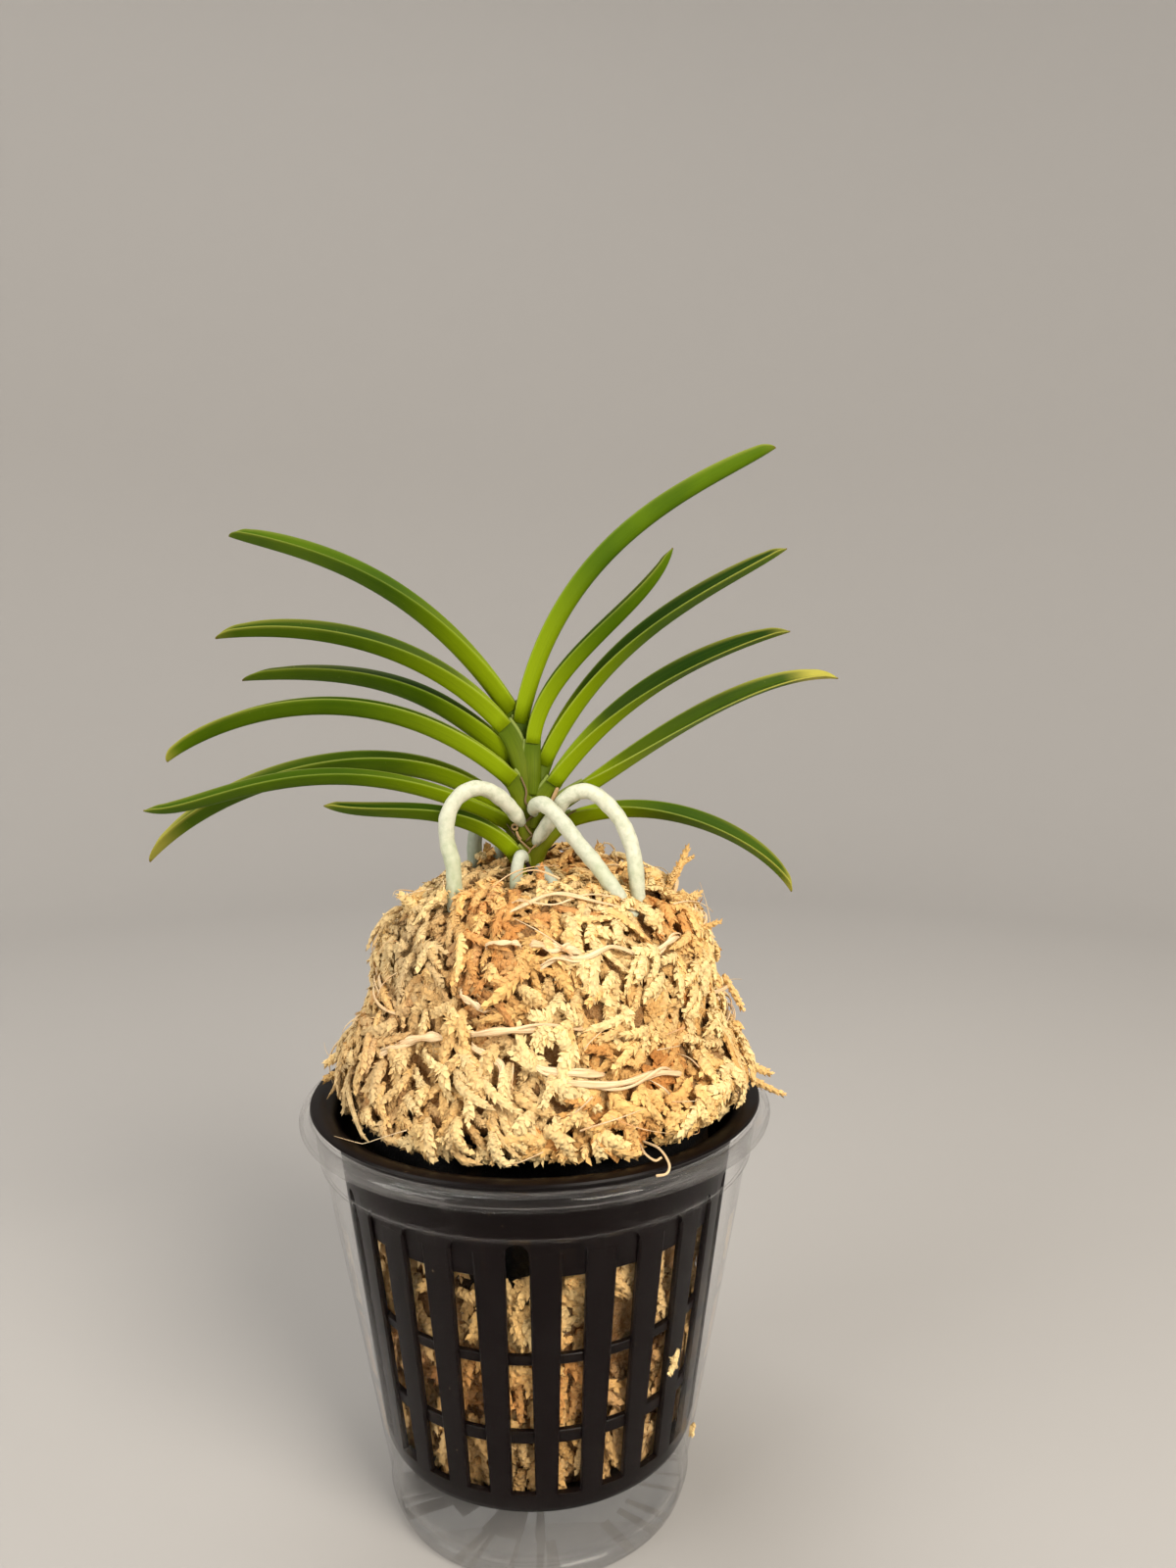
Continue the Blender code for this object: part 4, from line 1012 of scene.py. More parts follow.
def sheath_skin(leaf, stations=26, sides=28):
    """The sheath from the stem up to its joint, where it takes the form of the blade's base.

    Round a section at angle a the rise is width * (1 - cos a) / 2. The depth is bulge * sin a * (1 + 0.25
    cos a) low down and becomes a rounded wedge, |sin a|^0.35 * (0.6 to 1.05 mm from keel to margin), at the
    joint."""
    side = rank_side(leaf)
    foot = np.array([STEM_X + side * 2.0, leaf.foot_z])
    end = np.array(leaf.joint) + direction(leaf.rise) * 0.15
    reach = math.dist(foot, end)
    t = np.linspace(0, 1, stations)
    flat = hermite(foot, end, direction(90 - side * 8) * reach, direction(leaf.rise) * reach, t)
    keel, up = in_fan(flat, leaf.depths[0] * t, t, side)
    lower = (STEM_HEIGHTS[1] - leaf.foot_z) / (STEM_HEIGHTS[1] - STEM_HEIGHTS[0])
    width = SHEATH_WIDTH + (half_width(leaf, np.zeros(1))[0] + 0.75 - SHEATH_WIDTH) * t
    bulge = (1.9 + 1.2 * lower) * (1 - t) + 1.3 * t
    angle = turns(sides)
    cross = (1 - np.cos(angle)) / 2
    rise = width[:, None] * cross - (0.5 - 0.42 * t)[:, None]
    lens = bulge[:, None] * np.sin(angle) * (1 + 0.25 * np.cos(angle))
    wedge = np.sign(np.sin(angle)) * np.abs(np.sin(angle)) ** 0.35 * (0.6 + 0.45 * cross)
    part = blend(0.35, 1.0, t)[:, None]
    out = lens * (1 - part) + wedge * part
    rings = keel[:, None] + up[:, None] * rise[..., None] + FRONT * out[..., None]
    turn = -int(side)
    return loop_skin(rings[:, ::turn]).spread(
        along=np.concatenate([np.repeat(t, sides), [0.0, 1.0]]),
        across=np.concatenate([np.tile(cross[::turn], stations), [0.5, 0.5]]),
        old=lower,
    )


def stem_skin():
    """The short stem in the middle, a tube that narrows upward."""
    z = np.linspace(*STEM_HEIGHTS, 12)
    path = np.stack([0 * z + STEM_X, 0 * z, z], axis=1)
    return tube(path, np.interp(z, STEM_HEIGHTS, (2.6, 1.5)), 20, FRONT).spread(across=0.3, old=1.0)


class ORCHID_PG_leaf(bpy.types.PropertyGroup):
    # Lime of the blade base, made brighter as painted light shining through the leaf.
    lime: swatch("Lime", "Green at the base of a blade", (0.195, 0.270, 0.001))
    green: swatch("Green", "Lighter green of the blades", (0.084, 0.150, 0.001))
    deep: swatch("Deep green", "Darker green of the blades", (0.042, 0.090, 0.0006))
    # Painted shade inside the fold.
    inside: swatch("Inside", "Green inside the fold", (0.005, 0.021, 0.0003))
    margin: swatch("Margin", "Pale line along the edges", (0.30, 0.34, 0.07))
    gold: swatch("Tip", "Yellow of the ripening tips", (0.37, 0.34, 0.055))
    olive: swatch("Old sheath", "Olive of the lowest sheaths", (0.165, 0.17, 0.003))
    husk: swatch("Husk", "Tan of the dead edges", (0.46, 0.30, 0.15))
    sheath: swatch("Sheath", "Green of the sheaths", (0.030, 0.076, 0.001))


class ORCHID_OT_leaves(bpy.types.Operator):
    """Build the blades, one piece each"""

    bl_idname = "orchid.leaves"
    bl_label = "Leaf blades"

    def execute(self, context):
        material = leaf_green(context.scene.orchid_leaf)
        for name, leaf in LEAVES.items():
            add_piece("blade_" + name, blade_skin(leaf), material, "leaf_" + name)
        return {"FINISHED"}


class ORCHID_OT_sheaths(bpy.types.Operator):
    """Build the stem with the sheaths that clasp it"""

    bl_idname = "orchid.sheaths"
    bl_label = "Stem and sheaths"

    def execute(self, context):
        skins = [sheath_skin(leaf) for leaf in LEAVES.values()] + [stem_skin()]
        add_piece("sheathed_stem", joined(skins), sheath_green(context.scene.orchid_leaf), "stem")
        return {"FINISHED"}


# Dead edges of the sheaths, a bract and a scar on the crown, as (radius, paleness, (x, z) points of the
# middle line).
HUSKS = (
    (0.20, 0.35, ((-2.4, 144.8), (-1.4, 142.1), (-1.6, 140.0), (-0.7, 138.4), (-0.6, 137.5))),
    (0.22, 0.30, ((0.4, 137.6), (-0.6, 136.9), (-1.5, 136.1))),
    (0.20, 0.60, ((-2.3, 135.9), (-1.7, 135.4), (-0.8, 134.0), (-0.4, 133.6))),
    (0.18, 0.35, ((3.4, 134.7), (1.3, 133.8), (-0.3, 133.3), (-1.6, 132.2))),
    (0.20, 0.55, ((-3.1, 132.9), (-2.5, 132.4), (-1.6, 131.5), (-0.8, 130.5), (-1.6, 129.8))),
    (0.20, 0.85, ((-0.8, 130.5), (0.5, 131.6), (1.9, 132.7))),
    (0.42, 0.00, ((-1.9, 129.2), (-1.4, 128.1), (-0.8, 126.8), (-0.7, 125.7))),
    (0.65, 0.00, ((-1.0, 127.0), (-0.6, 126.2), (-0.3, 125.2))),
    (0.16, 0.20, ((-5.3, 135.6), (-4.7, 134.7), (-4.1, 133.9), (-3.3, 132.9))),
    (0.14, 0.30, ((8.3, 138.2), (7.3, 137.6), (6.2, 136.8))),
    (0.22, 0.00, ((2.8, 130.3), (3.5, 130.8), (4.3, 131.4))),
    (0.42, 0.95, ((3.3, 139.5), (4.2, 141.4), (4.7, 142.6))),
    (0.30, 0.90, ((-3.4, 134.2), (-3.0, 133.1), (-2.5, 132.6))),
    (0.34, 0.00, ((-3.75, 135.1), (-3.7, 135.0), (-3.65, 134.9))),
    (0.24, 0.95, [(-3.7 + 0.52 * math.cos(0.7 * k), 135.0 + 0.52 * math.sin(0.7 * k)) for k in range(10)]),
)


def husk_skins(face):
    """The husks as flattened tubes, each laid on the front of the given points: its depth is that of the
    foremost point within 0.7 mm, read along the smooth middle line."""
    for radius, paleness, points in HUSKS:
        line = smooth_path(points, 5)
        near = np.linalg.norm(face[None, :, [0, 2]] - line[:, None], axis=-1) < 0.7
        depth = np.where(near, face[None, :, 1], 0.0).min(axis=1)
        depth = 0.3 * depth + 0.7 * depth.min() - 0.6 * radius
        path = np.stack([line[:, 0], depth, line[:, 1]], axis=1)
        radii = radius * bowed(0.35, np.linspace(0.08, 0.92, len(line)))
        yield tube(path, radii, 8, (0.1, 1.0, 0.1), flat=0.7).spread(tone=paleness)


class ORCHID_OT_husks(bpy.types.Operator):
    """Build the dead edges, the bract and the scar on the crown"""

    bl_idname = "orchid.husks"
    bl_label = "Dried edges"

    def execute(self, context):
        skins = [skin(leaf) for leaf in LEAVES.values() for skin in (sheath_skin, blade_skin)]
        face = np.concatenate([skin.points for skin in skins])
        add_piece("dried_edges", joined(list(husk_skins(face))), dry_husk(context.scene.orchid_leaf))
        return {"FINISHED"}


# The aerial roots.


def bowed(ends, t):
    """The width of what is widest in its middle, as a share: ends + (1 - ends) sin(pi t)^0.5."""
    return ends + (1 - ends) * np.sin(np.pi * t) ** 0.5


def smooth_path(points, per_span):
    """The Catmull-Rom curve through the points: each span is the cubic with half the chord between
    neighbours as pull."""
    given = np.array(points, float)
    padded = np.vstack([2 * given[0] - given[1], given, 2 * given[-1] - given[-2]])
    t = np.linspace(0, 1, per_span, endpoint=False)
    pulls = (padded[2:] - padded[:-2]) / 2
    spans = [hermite(given[i], given[i + 1], pulls[i], pulls[i + 1], t) for i in range(len(given) - 1)]
    return np.vstack([*spans, given[-1:]])


class ORCHID_PG_root(bpy.types.PropertyGroup):
    root: swatch("Root", "Silver-white of the roots", (0.62, 0.62, 0.49))
    root_shade: swatch("Mottle", "Darker mottling", (0.42, 0.45, 0.32))
    # Painted shade on the roots behind and under the plant.
    root_in_shade: swatch("Old root", "Blue-grey of the hind roots", (0.20, 0.26, 0.23))
    root_green: swatch("Root end", "Green tint near the moss", (0.28, 0.36, 0.15))


class ORCHID_OT_roots(bpy.types.Operator):
    """Build the aerial roots, one piece each"""

    bl_idname = "orchid.roots"
    bl_label = "Aerial roots"

    def execute(self, context):
        material = root_silver(context.scene.orchid_root)
        for i, (name, (radius, blue, points)) in enumerate(ROOTS.items()):
            path = smooth_path(points, 8)
            length = run_of(path)
            swell = 1 + 0.035 * np.sin(length * 0.9 + i) + 0.025 * np.sin(length * 2.3 + 2 * i)
            ease = 0.55 + 0.45 * blend(0.0, 4.0, length)
            skin = tube(path, radius * swell * ease, 24, (0.25, 1.0, 0.1))
            add_piece("aerial_" + name, skin.spread(blue=blue), material, name)
        return {"FINISHED"}


# The moss.

# A leaflet's corners: how far along it, how far across, how far below, and how far on up its shoot.
KITE = (
    (0.0, 0.0, 0.1, 0.0), (0.42, 1.0, 0.3, 0.04), (1.0, 0.0, 0.0, 0.12), (0.42, -1.0, 0.3, 0.04),
    (0.3, 0.0, 0.9, 0.0),
)
KITE_FACES = np.array([[0, 2, 1], [0, 3, 2], [0, 1, 4], [1, 2, 4], [2, 3, 4], [3, 0, 4]])
MOUND = np.array(MOSS_MOUND)
MOUND_RUN = run_of(MOUND) / run_of(MOUND)[-1]


def mound(angle, share):
    """The mound at an angle round Z and a share of the way from the pot's lip to the top: its point and its
    normal.

    The profile's (radius, height) points are read by length, and the radius is multiplied by 1 + the sum of
    long waves size * sin(count * angle + lean * height), which fade in over the first 8 mm. Its top is
    higher at the back."""

    def place(angle, share):
        radius, z = (np.interp(share, MOUND_RUN, column) for column in MOUND.T)
        free = np.clip((z - 82.0) / 8.0, 0, 1)
        wave = sum(size * np.sin(count * angle + lean * z) for count, lean, size in MOSS_WAVES)
        back = np.clip(np.sin(angle), 0, 1) ** 0.5 * blend(0.62, 0.78, share) * blend(1.0, 0.86, share)
        points = around(radius * (1 + free * wave), angle, z + MOSS_BACK_RISE * back)
        points[..., 0] += MOSS_CENTRE_X * free
        return points

    around_way = place(angle + 0.02, share) - place(angle - 0.02, share)
    up_way = place(angle, np.clip(share + 0.02, 0, 1)) - place(angle, np.clip(share - 0.02, 0, 1))
    small = np.linalg.norm(around_way, axis=-1, keepdims=True) < 1e-3
    return place(angle, share), unit(np.cross(np.where(small, sideways(angle), around_way), up_way))


def share_at(z):
    """The share of the way up the mound's profile at a height."""
    return np.interp(z, MOUND[:-1, 1], MOUND_RUN[:-1])


def even_shares(parts):
    """Shares of the mound's profile for parts of its area, both from 0 at the pot's lip to 1 at the top."""
    area = np.cumsum(np.diff(MOUND_RUN, prepend=0.0) * (MOUND[:, 0] + np.roll(MOUND[:, 0], 1)) / 2)
    return np.interp(parts * area[-1], area, MOUND_RUN)


def shoot_paths(root, way, bend, length, stations=8):
    """Paths root + length * (t way + t^2 bend), t from 0 to 1."""
    t = np.linspace(0, 1, stations)[None, :, None]
    return root[:, None] + length[:, None, None] * (t * way[:, None] + t**2 * bend[:, None])


def ribbon_radii(shape, thickness, draw):
    """Radii for ribbons, thickness * (0.7 + 0.3 step(0, 0.2, t)) * (1 - t^p)^0.5, where p is drawn from 2.5,
    for a pointed shoot, to 7, for a blunt one, with lumps."""
    t = np.linspace(0, 1, shape[1])
    power = draw.uniform(2.5, 7.0, (shape[0], 1))
    form = (0.7 + 0.3 * blend(0.0, 0.2, t)) * (1 - 0.985 * t**power) ** 0.5
    return 0.75 * thickness[:, None] * form * draw.uniform(0.85, 1.12, shape)


def leaflets(paths, radii, thickness, ways, draw, number):
    """Leaflets that lie up the ribbons in two rows like plaited scales.

    They go left and right in turn: each leaves the ribbon slantwise, away from its middle line and towards
    its end. A leaflet is a kite with a ridge, closed below."""
    count, stations = radii.shape
    size = (count, number, 1)
    thickness = thickness[:, None, None]
    k = np.arange(number)
    spot = 0.03 + 0.93 * (k + draw.uniform(-0.4, 0.4, (count, number)).clip(-k, None)) / number
    at = spot * (stations - 1)
    low = np.clip(at.astype(int), 0, stations - 2)
    part = (at - low)[..., None]
    rows = np.arange(count)[:, None]
    below, above = paths[rows, low], paths[rows, low + 1]
    radius = (radii[rows, low] * (1 - part[..., 0]) + radii[rows, low + 1] * part[..., 0])[..., None]
    along = unit(above - below)
    side = unit(np.cross(along, np.broadcast_to(ways[:, None], along.shape)))
    up = np.cross(side, along)
    hand = np.where(k % 2, 1.0, -1.0)[None, :, None]
    turn = hand * draw.uniform(0.1, 1.5, size)
    out = up * np.cos(turn) + side * np.sin(turn)
    off = (side * np.cos(turn) - up * np.sin(turn)) * hand
    last = spot[..., None] ** 4
    splay = draw.uniform(0.25, 0.65, size) * (1 - 0.7 * last)
    way = unit(along + off * splay + out * draw.uniform(0.0, 0.4, size))
    across = unit(np.cross(out, way))
    top = np.cross(way, across)
    long = way * thickness * draw.uniform(0.8, 1.5, size) * (1 - 0.3 * last)
    wide = thickness * draw.uniform(0.28, 0.48, size)
    rim = (RIBBON_FLAT * up * np.cos(turn) + side * np.sin(turn)) * (radius * 0.9)
    foot = below * (1 - part) + above * part + rim
    corners = np.stack([foot + a * long + (b * across - c * top) * wide for a, b, c, _ in KITE], axis=2)
    faces = KITE_FACES + np.arange(count * number)[:, None, None] * len(KITE)
    share = np.clip(spot.reshape(-1, 1) + [corner[3] for corner in KITE], 0, 1).ravel()
    return Skin(corners, np.empty((0, 4), int), faces, np.full((faces.size, 2), 0.35), {"along": share})


def leafy_shoots(paths, thickness, ways, draw, number=15, **values):
    """Ribbons with their leaflets as one skin, with values for each shoot."""
    radii = ribbon_radii(paths.shape[:2], thickness, draw)
    skins = tubes(paths, radii, 6, ways, RIBBON_FLAT), leaflets(paths, radii, thickness, ways, draw, number)
    return joined([skin.spread(**values) for skin in skins])


def moss_tone(points, draw):
    """How rusty, and how grey, the moss is at points: slow seeded fields, greyer to the left as painted shade,
    with the patches and a draw for each."""
    count = len(points)
    rust = 0.34 + 0.24 * wander(points, 5, 26.0) + 0.22 * wander(points, 8, 9.0) + draw.normal(0, 0.16, count)
    # The -0.010 x term is painted shade: greyer on the left, away from the main light.
    grey = 0.2 + 0.22 * wander(points, 21, 30.0) - 0.010 * points[:, 0] + draw.normal(0, 0.14, count)
    for place, reach, rustier, greyer in MOSS_PATCHES:
        near = bell(np.linalg.norm(points - place, axis=-1), 0.0, reach)
        rust += rustier * near
        grey += greyer * near
    return np.clip(rust, 0, 1), np.clip(grey, 0, 0.9)


def outer_shoots(draw, count):
    """Shoots that lie over the mound in forks of two, most of them hanging down and outward.

    Fork k stands at the golden angle times k, and as far up as an even share of the mound's area. Its arms
    leave it at equal angles on both sides of its own way, which strays from straight down by a normal draw.
    Most forks lie deep, and the upper ones stand out in front of them."""
    forks = count // 2
    count = forks * 2
    k = np.arange(forks)
    angle = np.repeat(k * GOLDEN_ANGLE + draw.normal(0, 0.03, forks), 2)
    share = np.repeat(even_shares((k + draw.uniform(0, 1, forks)) / forks), 2)
    share = np.clip(share + draw.normal(0, 0.008, count), 0.0, 0.985)
    root, normal = mound(angle, share)
    flat = sideways(angle)
    down = unit(np.cross(flat, normal))
    down = down * np.where(down[:, 2:] > 0, -1.0, 1.0)
    sweep = np.repeat(draw.normal(0, 1.0, forks), 2) * (0.65 + 0.7 * share)
    sweep += np.repeat(draw.uniform(*FORK_ANGLES, forks), 2) * np.tile([1, -1], forks)
    way = down * np.cos(sweep)[:, None] + flat * np.sin(sweep)[:, None]
    upper = np.repeat(draw.uniform(0, 1, forks) < UPPER_PART, 2)
    depth = np.where(upper, draw.uniform(0.0, 0.3, count), draw.uniform(0.6, 1.0, count))
    lift = draw.uniform(0.0, 0.3, count) + upper * draw.uniform(0.1, 0.6, count)
    lift = (lift + 0.6 * upper * (draw.uniform(0, 1, count) > 0.75) + 0.4 * blend(0.6, 0.75, share))[:, None]
    bend = np.cross(normal, way) * draw.normal(0, 0.6, (count, 1)) - normal * (0.1 + lift * 0.8) - 0.12 * UP
    way = unit(way + normal * lift)
    length = draw.uniform(*SHOOT_LENGTHS, count) * np.repeat(draw.uniform(0.8, 1.15, forks), 2)
    root = root + normal * (1.6 - 2.8 * depth - 1.6 * blend(0.1, 0.0, share))[:, None] - way
    paths = shoot_paths(root, way, bend, length)
    paths[..., 2] = np.maximum(paths[..., 2], MOSS_LIP_Z)
    thickness = draw.uniform(*SHOOT_THICKNESSES, count) * (0.85 + 0.03 * length) * (1.0 + 0.15 * upper)
    tone, grey = moss_tone(root, draw)
    tone = np.clip(tone + np.where(upper, -0.12, 0.12), 0, 1)
    # depth places a shoot and also sets how much painted shade it gets.
    values = {"tone": tone, "grey": grey, "depth": depth, "shoot": np.arange(count)}
    return leafy_shoots(paths, thickness, normal, draw, **values)


def split_skin(skin, parts):
    """A skin of many shoots cut into parts, with whole shoots in each, in the order they were made."""
    shoot = skin.values.pop("shoot")
    edges = np.linspace(0, shoot.max() + 1, parts + 1)
    quad_uv = skin.uv[: len(skin.quads) * 4].reshape(-1, 8)
    tri_uv = skin.uv[len(skin.quads) * 4 :].reshape(-1, 6)
    for low, high in zip(edges[:-1], edges[1:]):
        within = (shoot >= low) & (shoot < high)
        moved = np.cumsum(within) - 1
        quads, tris = within[skin.quads[:, 0]], within[skin.tris[:, 0]]
        uv = np.concatenate([quad_uv[quads].ravel(), tri_uv[tris].ravel()])
        values = {name: value[within] for name, value in skin.values.items()}
        yield Skin(skin.points[within], moved[skin.quads[quads]], moved[skin.tris[tris]], uv, values)


def filling_shoots(draw, count):
    """Shoots pressed against the inside of the pot, seen through its slots. The front slot is clear above
    its edge."""
    angle = draw.uniform(0, 2 * np.pi, count)
    z = draw.uniform(*FILLING_HEIGHTS, count)
    aside = np.abs((angle - math.radians(FRONT_SLOT) + np.pi) % (2 * np.pi) - np.pi)
    kept = (z < FRONT_WINDOW_Z) | (aside > 0.22)
    angle, z = angle[kept], z[kept]
    count = len(z)
    radius = pot_radius(z) - draw.uniform(2.6, 5.0, count)
    sweep = draw.normal(0, 0.7, count)[:, None]
    way = sideways(angle) * np.sin(sweep) - UP * np.cos(sweep)
    length = draw.uniform(*FILLING_LENGTHS, count)
    root = around(radius, angle, z) - way * length[:, None] / 2
    paths = shoot_paths(root, way, draw.normal(0, 0.2, (count, 3)), length)
    paths[..., 2] = np.clip(paths[..., 2], 17.0, 76.0)
    window = (aside[kept] < 0.25)[:, None] & (paths[..., 2] > FRONT_WINDOW_Z)
    paths[..., 2] = np.where(window, FRONT_WINDOW_Z, paths[..., 2])
    limit = pot_radius(paths[..., 2]) - 2.4
    paths[..., :2] *= np.minimum(1.0, limit / np.linalg.norm(paths[..., :2], axis=-1))[..., None]
    tone, grey = moss_tone(root, draw)
    tone = np.clip(0.15 + 0.55 * tone + 0.5 * bell(z, 39.0, 7.0), 0, 1)
    grey = np.clip(grey * 0.5 + 0.45 * blend(4.0, 14.0, root[:, 0]), 0, 0.9)
    # Painted shade for the filling, more of it lower in the pot; the moss material reads it as depth.
    pot_shade = 0.4 + 0.6 * blend(34.0, 20.0, z) + 0.5 * blend(50.0, 42.0, z)
    thickness = draw.uniform(*FILLING_THICKNESSES, count)
    return leafy_shoots(paths, thickness, around(1.0, angle, 0.0), draw, 12, tone=tone, grey=grey, depth=pot_shade)


def stray_shoots(draw):
    """Shoots that stand away from the mound, and crumbs on the cup and the pot."""
    start, end, thickness, tone = (np.array(column, float) for column in zip(*MOSS_STRAYS))
    bend = draw.normal(0, 0.1, start.shape)
    paths = shoot_paths(start, unit(end - start) - bend, bend, np.linalg.norm(end - start, axis=1), 9)
    toward = np.tile([0.05, -1.0, 0.1], (len(start), 1))
    return leafy_shoots(paths, thickness, toward, draw, tone=tone, grey=0.1, depth=0.0)


def wound_stems(draw, strands=4, stations=36, bundles=4):
    """Stems in bundles on the mound's sides and back, each at one of the listed heights.

    Such a stem runs through the angles a0 + reach at the share s0 + lean * reach plus two sine waves, and
    stands about 1.5 mm proud of the mound, with both ends sunk in it."""
    heights = np.repeat(MOSS_BUNDLES_Z, bundles * strands)
    count = len(heights)
    turn = np.arange(count // strands) % bundles + draw.uniform(-0.3, 0.3, count // strands)
    bundle = np.repeat(np.radians(-20.0 + 55.0 * turn), strands)[:, None]
    start = bundle + draw.normal(0, 0.1, (count, 1))
    length = draw.uniform(0.4, 0.95, (count, 1))
    t = np.linspace(0, 1, stations)
    reach = t * length
    share = share_at(heights + draw.normal(0, 0.7, count))[:, None]
    share = share + np.repeat(draw.normal(0, 0.035, count // strands), strands)[:, None] * reach
    share += 0.014 * np.sin(4.0 * reach + 7.0 * bundle) + 0.006 * np.sin(13.0 * reach + 9.0 * start)
    points, normal = mound(start + reach, np.clip(share, 0.02, 0.95))
    sunk = 1 - np.sin(np.pi * t).clip(0.0) ** 0.3
    lift = 1.2 + draw.uniform(-0.8, 0.8, (count, 1)) + 1.1 * np.sin(9.0 * reach + 3 * start) - 2.8 * sunk
    radii = draw.uniform(0.25, 0.6, (count, 1)) * bowed(0.55, np.linspace(0.04, 0.96, stations))
    stems = tubes(points + normal * lift[..., None], radii, 7, normal[:, stations // 2], flat=0.5)
    return stems.spread(tone=draw.uniform(0, 0.6, count))


def front_stems(draw):
    """The listed stems, each of a broad strand and a thin one that crosses it."""
    for half, points in MOSS_STEMS:
        for part, slip in ((1.0, 0.0), (0.5, 1.0)):
            angle, z = smooth_path(points, 12).T
            t = np.linspace(0, 1, len(z))
            z = z + slip * half * 1.2 * np.cos(2.6 * np.pi * t)
            place, normal = mound(np.radians(angle - 90.0), share_at(z))
            sunk = 1 - np.sin(np.pi * t).clip(0.0) ** 0.3
            lift = 1.7 + 0.5 * np.sin(7.0 * t + draw.uniform(0, 6)) - 2.4 * sunk
            ripple = 1 + 0.2 * np.sin(17.0 * t + draw.uniform(0, 6))
            width = half * part * bowed(0.5, np.clip(t, 0.05, 0.95)) * ripple
            path = place + normal * lift[:, None]
            yield tube(path, width, 8, normal[len(z) // 2], flat=0.45).spread(tone=0.25)


def threads(draw, count=60, stations=12):
    """Thin curled threads that stand off the mound and come back to it."""
    angle, share = draw.uniform(0, 2 * np.pi, count), even_shares(draw.uniform(0, 1, count))
    root, normal = mound(angle, share)
    way = unit(draw.normal(size=(count, 3)) - normal * 0.2)
    way = unit(way - normal * (way * normal).sum(-1, keepdims=True) * 0.8)
    curl = draw.normal(0, 0.5, (count, 3)) + normal * 0.2
    paths = shoot_paths(root + normal * 2.0, way, curl * 0.5, draw.uniform(*THREAD_LENGTHS, count), stations)
    t = np.linspace(0, 1, stations)
    paths += normal[:, None] * (0.9 * np.sin(np.pi * t) - 1.4 * t**3)[None, :, None]
    paths[..., 2] = np.maximum(paths[..., 2], MOSS_LIP_Z + 0.3)
    radii = draw.uniform(0.11, 0.26, count)[:, None] * (1 - 0.7 * t)
    skin = tubes(paths, radii, 5, unit(np.cross(way, normal) + 0.1), flat=0.9)
    return skin.spread(tone=draw.uniform(0, 1, count))


def curl_skins():
    """The listed threads over the rim."""
    for points in MOSS_CURLS:
        path = smooth_path(points, 8)
        yield tube(path, np.full(len(path), 0.22), 6, (0.3, 0.2, 1.0)).spread(tone=0.3)


def core_skin():
    """The closed body below the shoots: the mound and the filling, 1.6 mm inside their surface, with a
    hollow behind the front slot. Its hollow value asks for near black painted shade in that hollow, in the
    pot's neck and at the mound's foot by the lip."""
    angle, share = np.meshgrid(np.linspace(0, 2 * np.pi, 96, endpoint=False), np.linspace(0.0, 0.97, 50))
    points, normal = mound(angle, share)
    inward = 1.6 + 0.5 * wander(points, 3, 6.0) + 2.0 * blend(0.12, 0.0, share)
    z = np.linspace(16.4, 80.0, 24)[:, None]
    front = np.cos(angle[:1] - math.radians(FRONT_SLOT))
    radius = np.where(z < 63, pot_radius(z) - 5.0, 34.4)
    radius = radius - 16.0 * blend(0.93, 0.98, front) * blend(FRONT_WINDOW_Z - 3.0, FRONT_WINDOW_Z, z)
    skin = loop_skin(np.concatenate([around(radius, angle[0], z), points - normal * inward[..., None]]))
    window = blend(0.9, 0.95, front) * blend(FRONT_WINDOW_Z - 9.0, FRONT_WINDOW_Z - 6.0, z)
    # Painted shade: the hollow value is high behind the front slot, in the pot's neck and at the mound's foot.
    dark = np.concatenate([np.maximum(window, blend(70.0, 76.0, z)), blend(0.1, 0.04, share)])
    return skin.spread(hollow=np.concatenate([dark.ravel(), [0.0, 0.0]]))


class ORCHID_PG_moss(bpy.types.PropertyGroup):
    shoots: IntProperty(name="Shoots", description="Shoots on the mound", default=2600, min=100)
    filling: IntProperty(name="Filling", description="Shoots behind the pot's slots", default=850, min=50)
    cream: swatch("Cream", "Palest shoots", (0.96, 0.73, 0.35))
    straw: swatch("Straw", "Common colour", (0.87, 0.54, 0.19))
    rust: swatch("Rust", "Orange-brown patches", (0.68, 0.30, 0.080))
    # Weathered shoots, also used as painted shade on the mound's left side.
    grey: swatch("Grey", "Weathered shoots", (0.57, 0.42, 0.22))
    # Painted shade colour: the depths between shoots, the core, and shoots that lie deep.
    shade: swatch("Shade", "Depths between shoots", (0.25, 0.10, 0.020))
    litter: swatch("Litter", "Crumbled moss in the depths", (0.44, 0.26, 0.11))
    fibre: swatch("Fibre", "Pale stems", (0.89, 0.72, 0.45))
    fibre_dark: swatch("Fibre streak", "Streaks in the stems", (0.58, 0.39, 0.21))


class ORCHID_OT_moss(bpy.types.Operator):
    """Build the mound of moss and the filling of the pot"""

    bl_idname = "orchid.moss"
    bl_label = "Moss"

    def execute(self, context):
        settings = context.scene.orchid_moss
        draw = np.random.default_rng(MOSS_SEED)
        add_piece("moss_core", core_skin(), mound_core(settings), "moss")
        moss = dried_moss(settings)
        for i, part in enumerate(split_skin(outer_shoots(draw, settings.shoots), 4)):
            add_piece(f"moss_shoots_{i + 1}", part, moss, sharp=SHOOT_SHARP)
        add_piece("moss_filling", filling_shoots(draw, settings.filling), moss, sharp=SHOOT_SHARP)
        add_piece("moss_strays", stray_shoots(draw), moss, sharp=SHOOT_SHARP)
        stems = [wound_stems(draw), *front_stems(draw), threads(draw), *curl_skins()]
        add_piece("moss_stems", joined(stems), straw_fibre(settings))
        return {"FINISHED"}


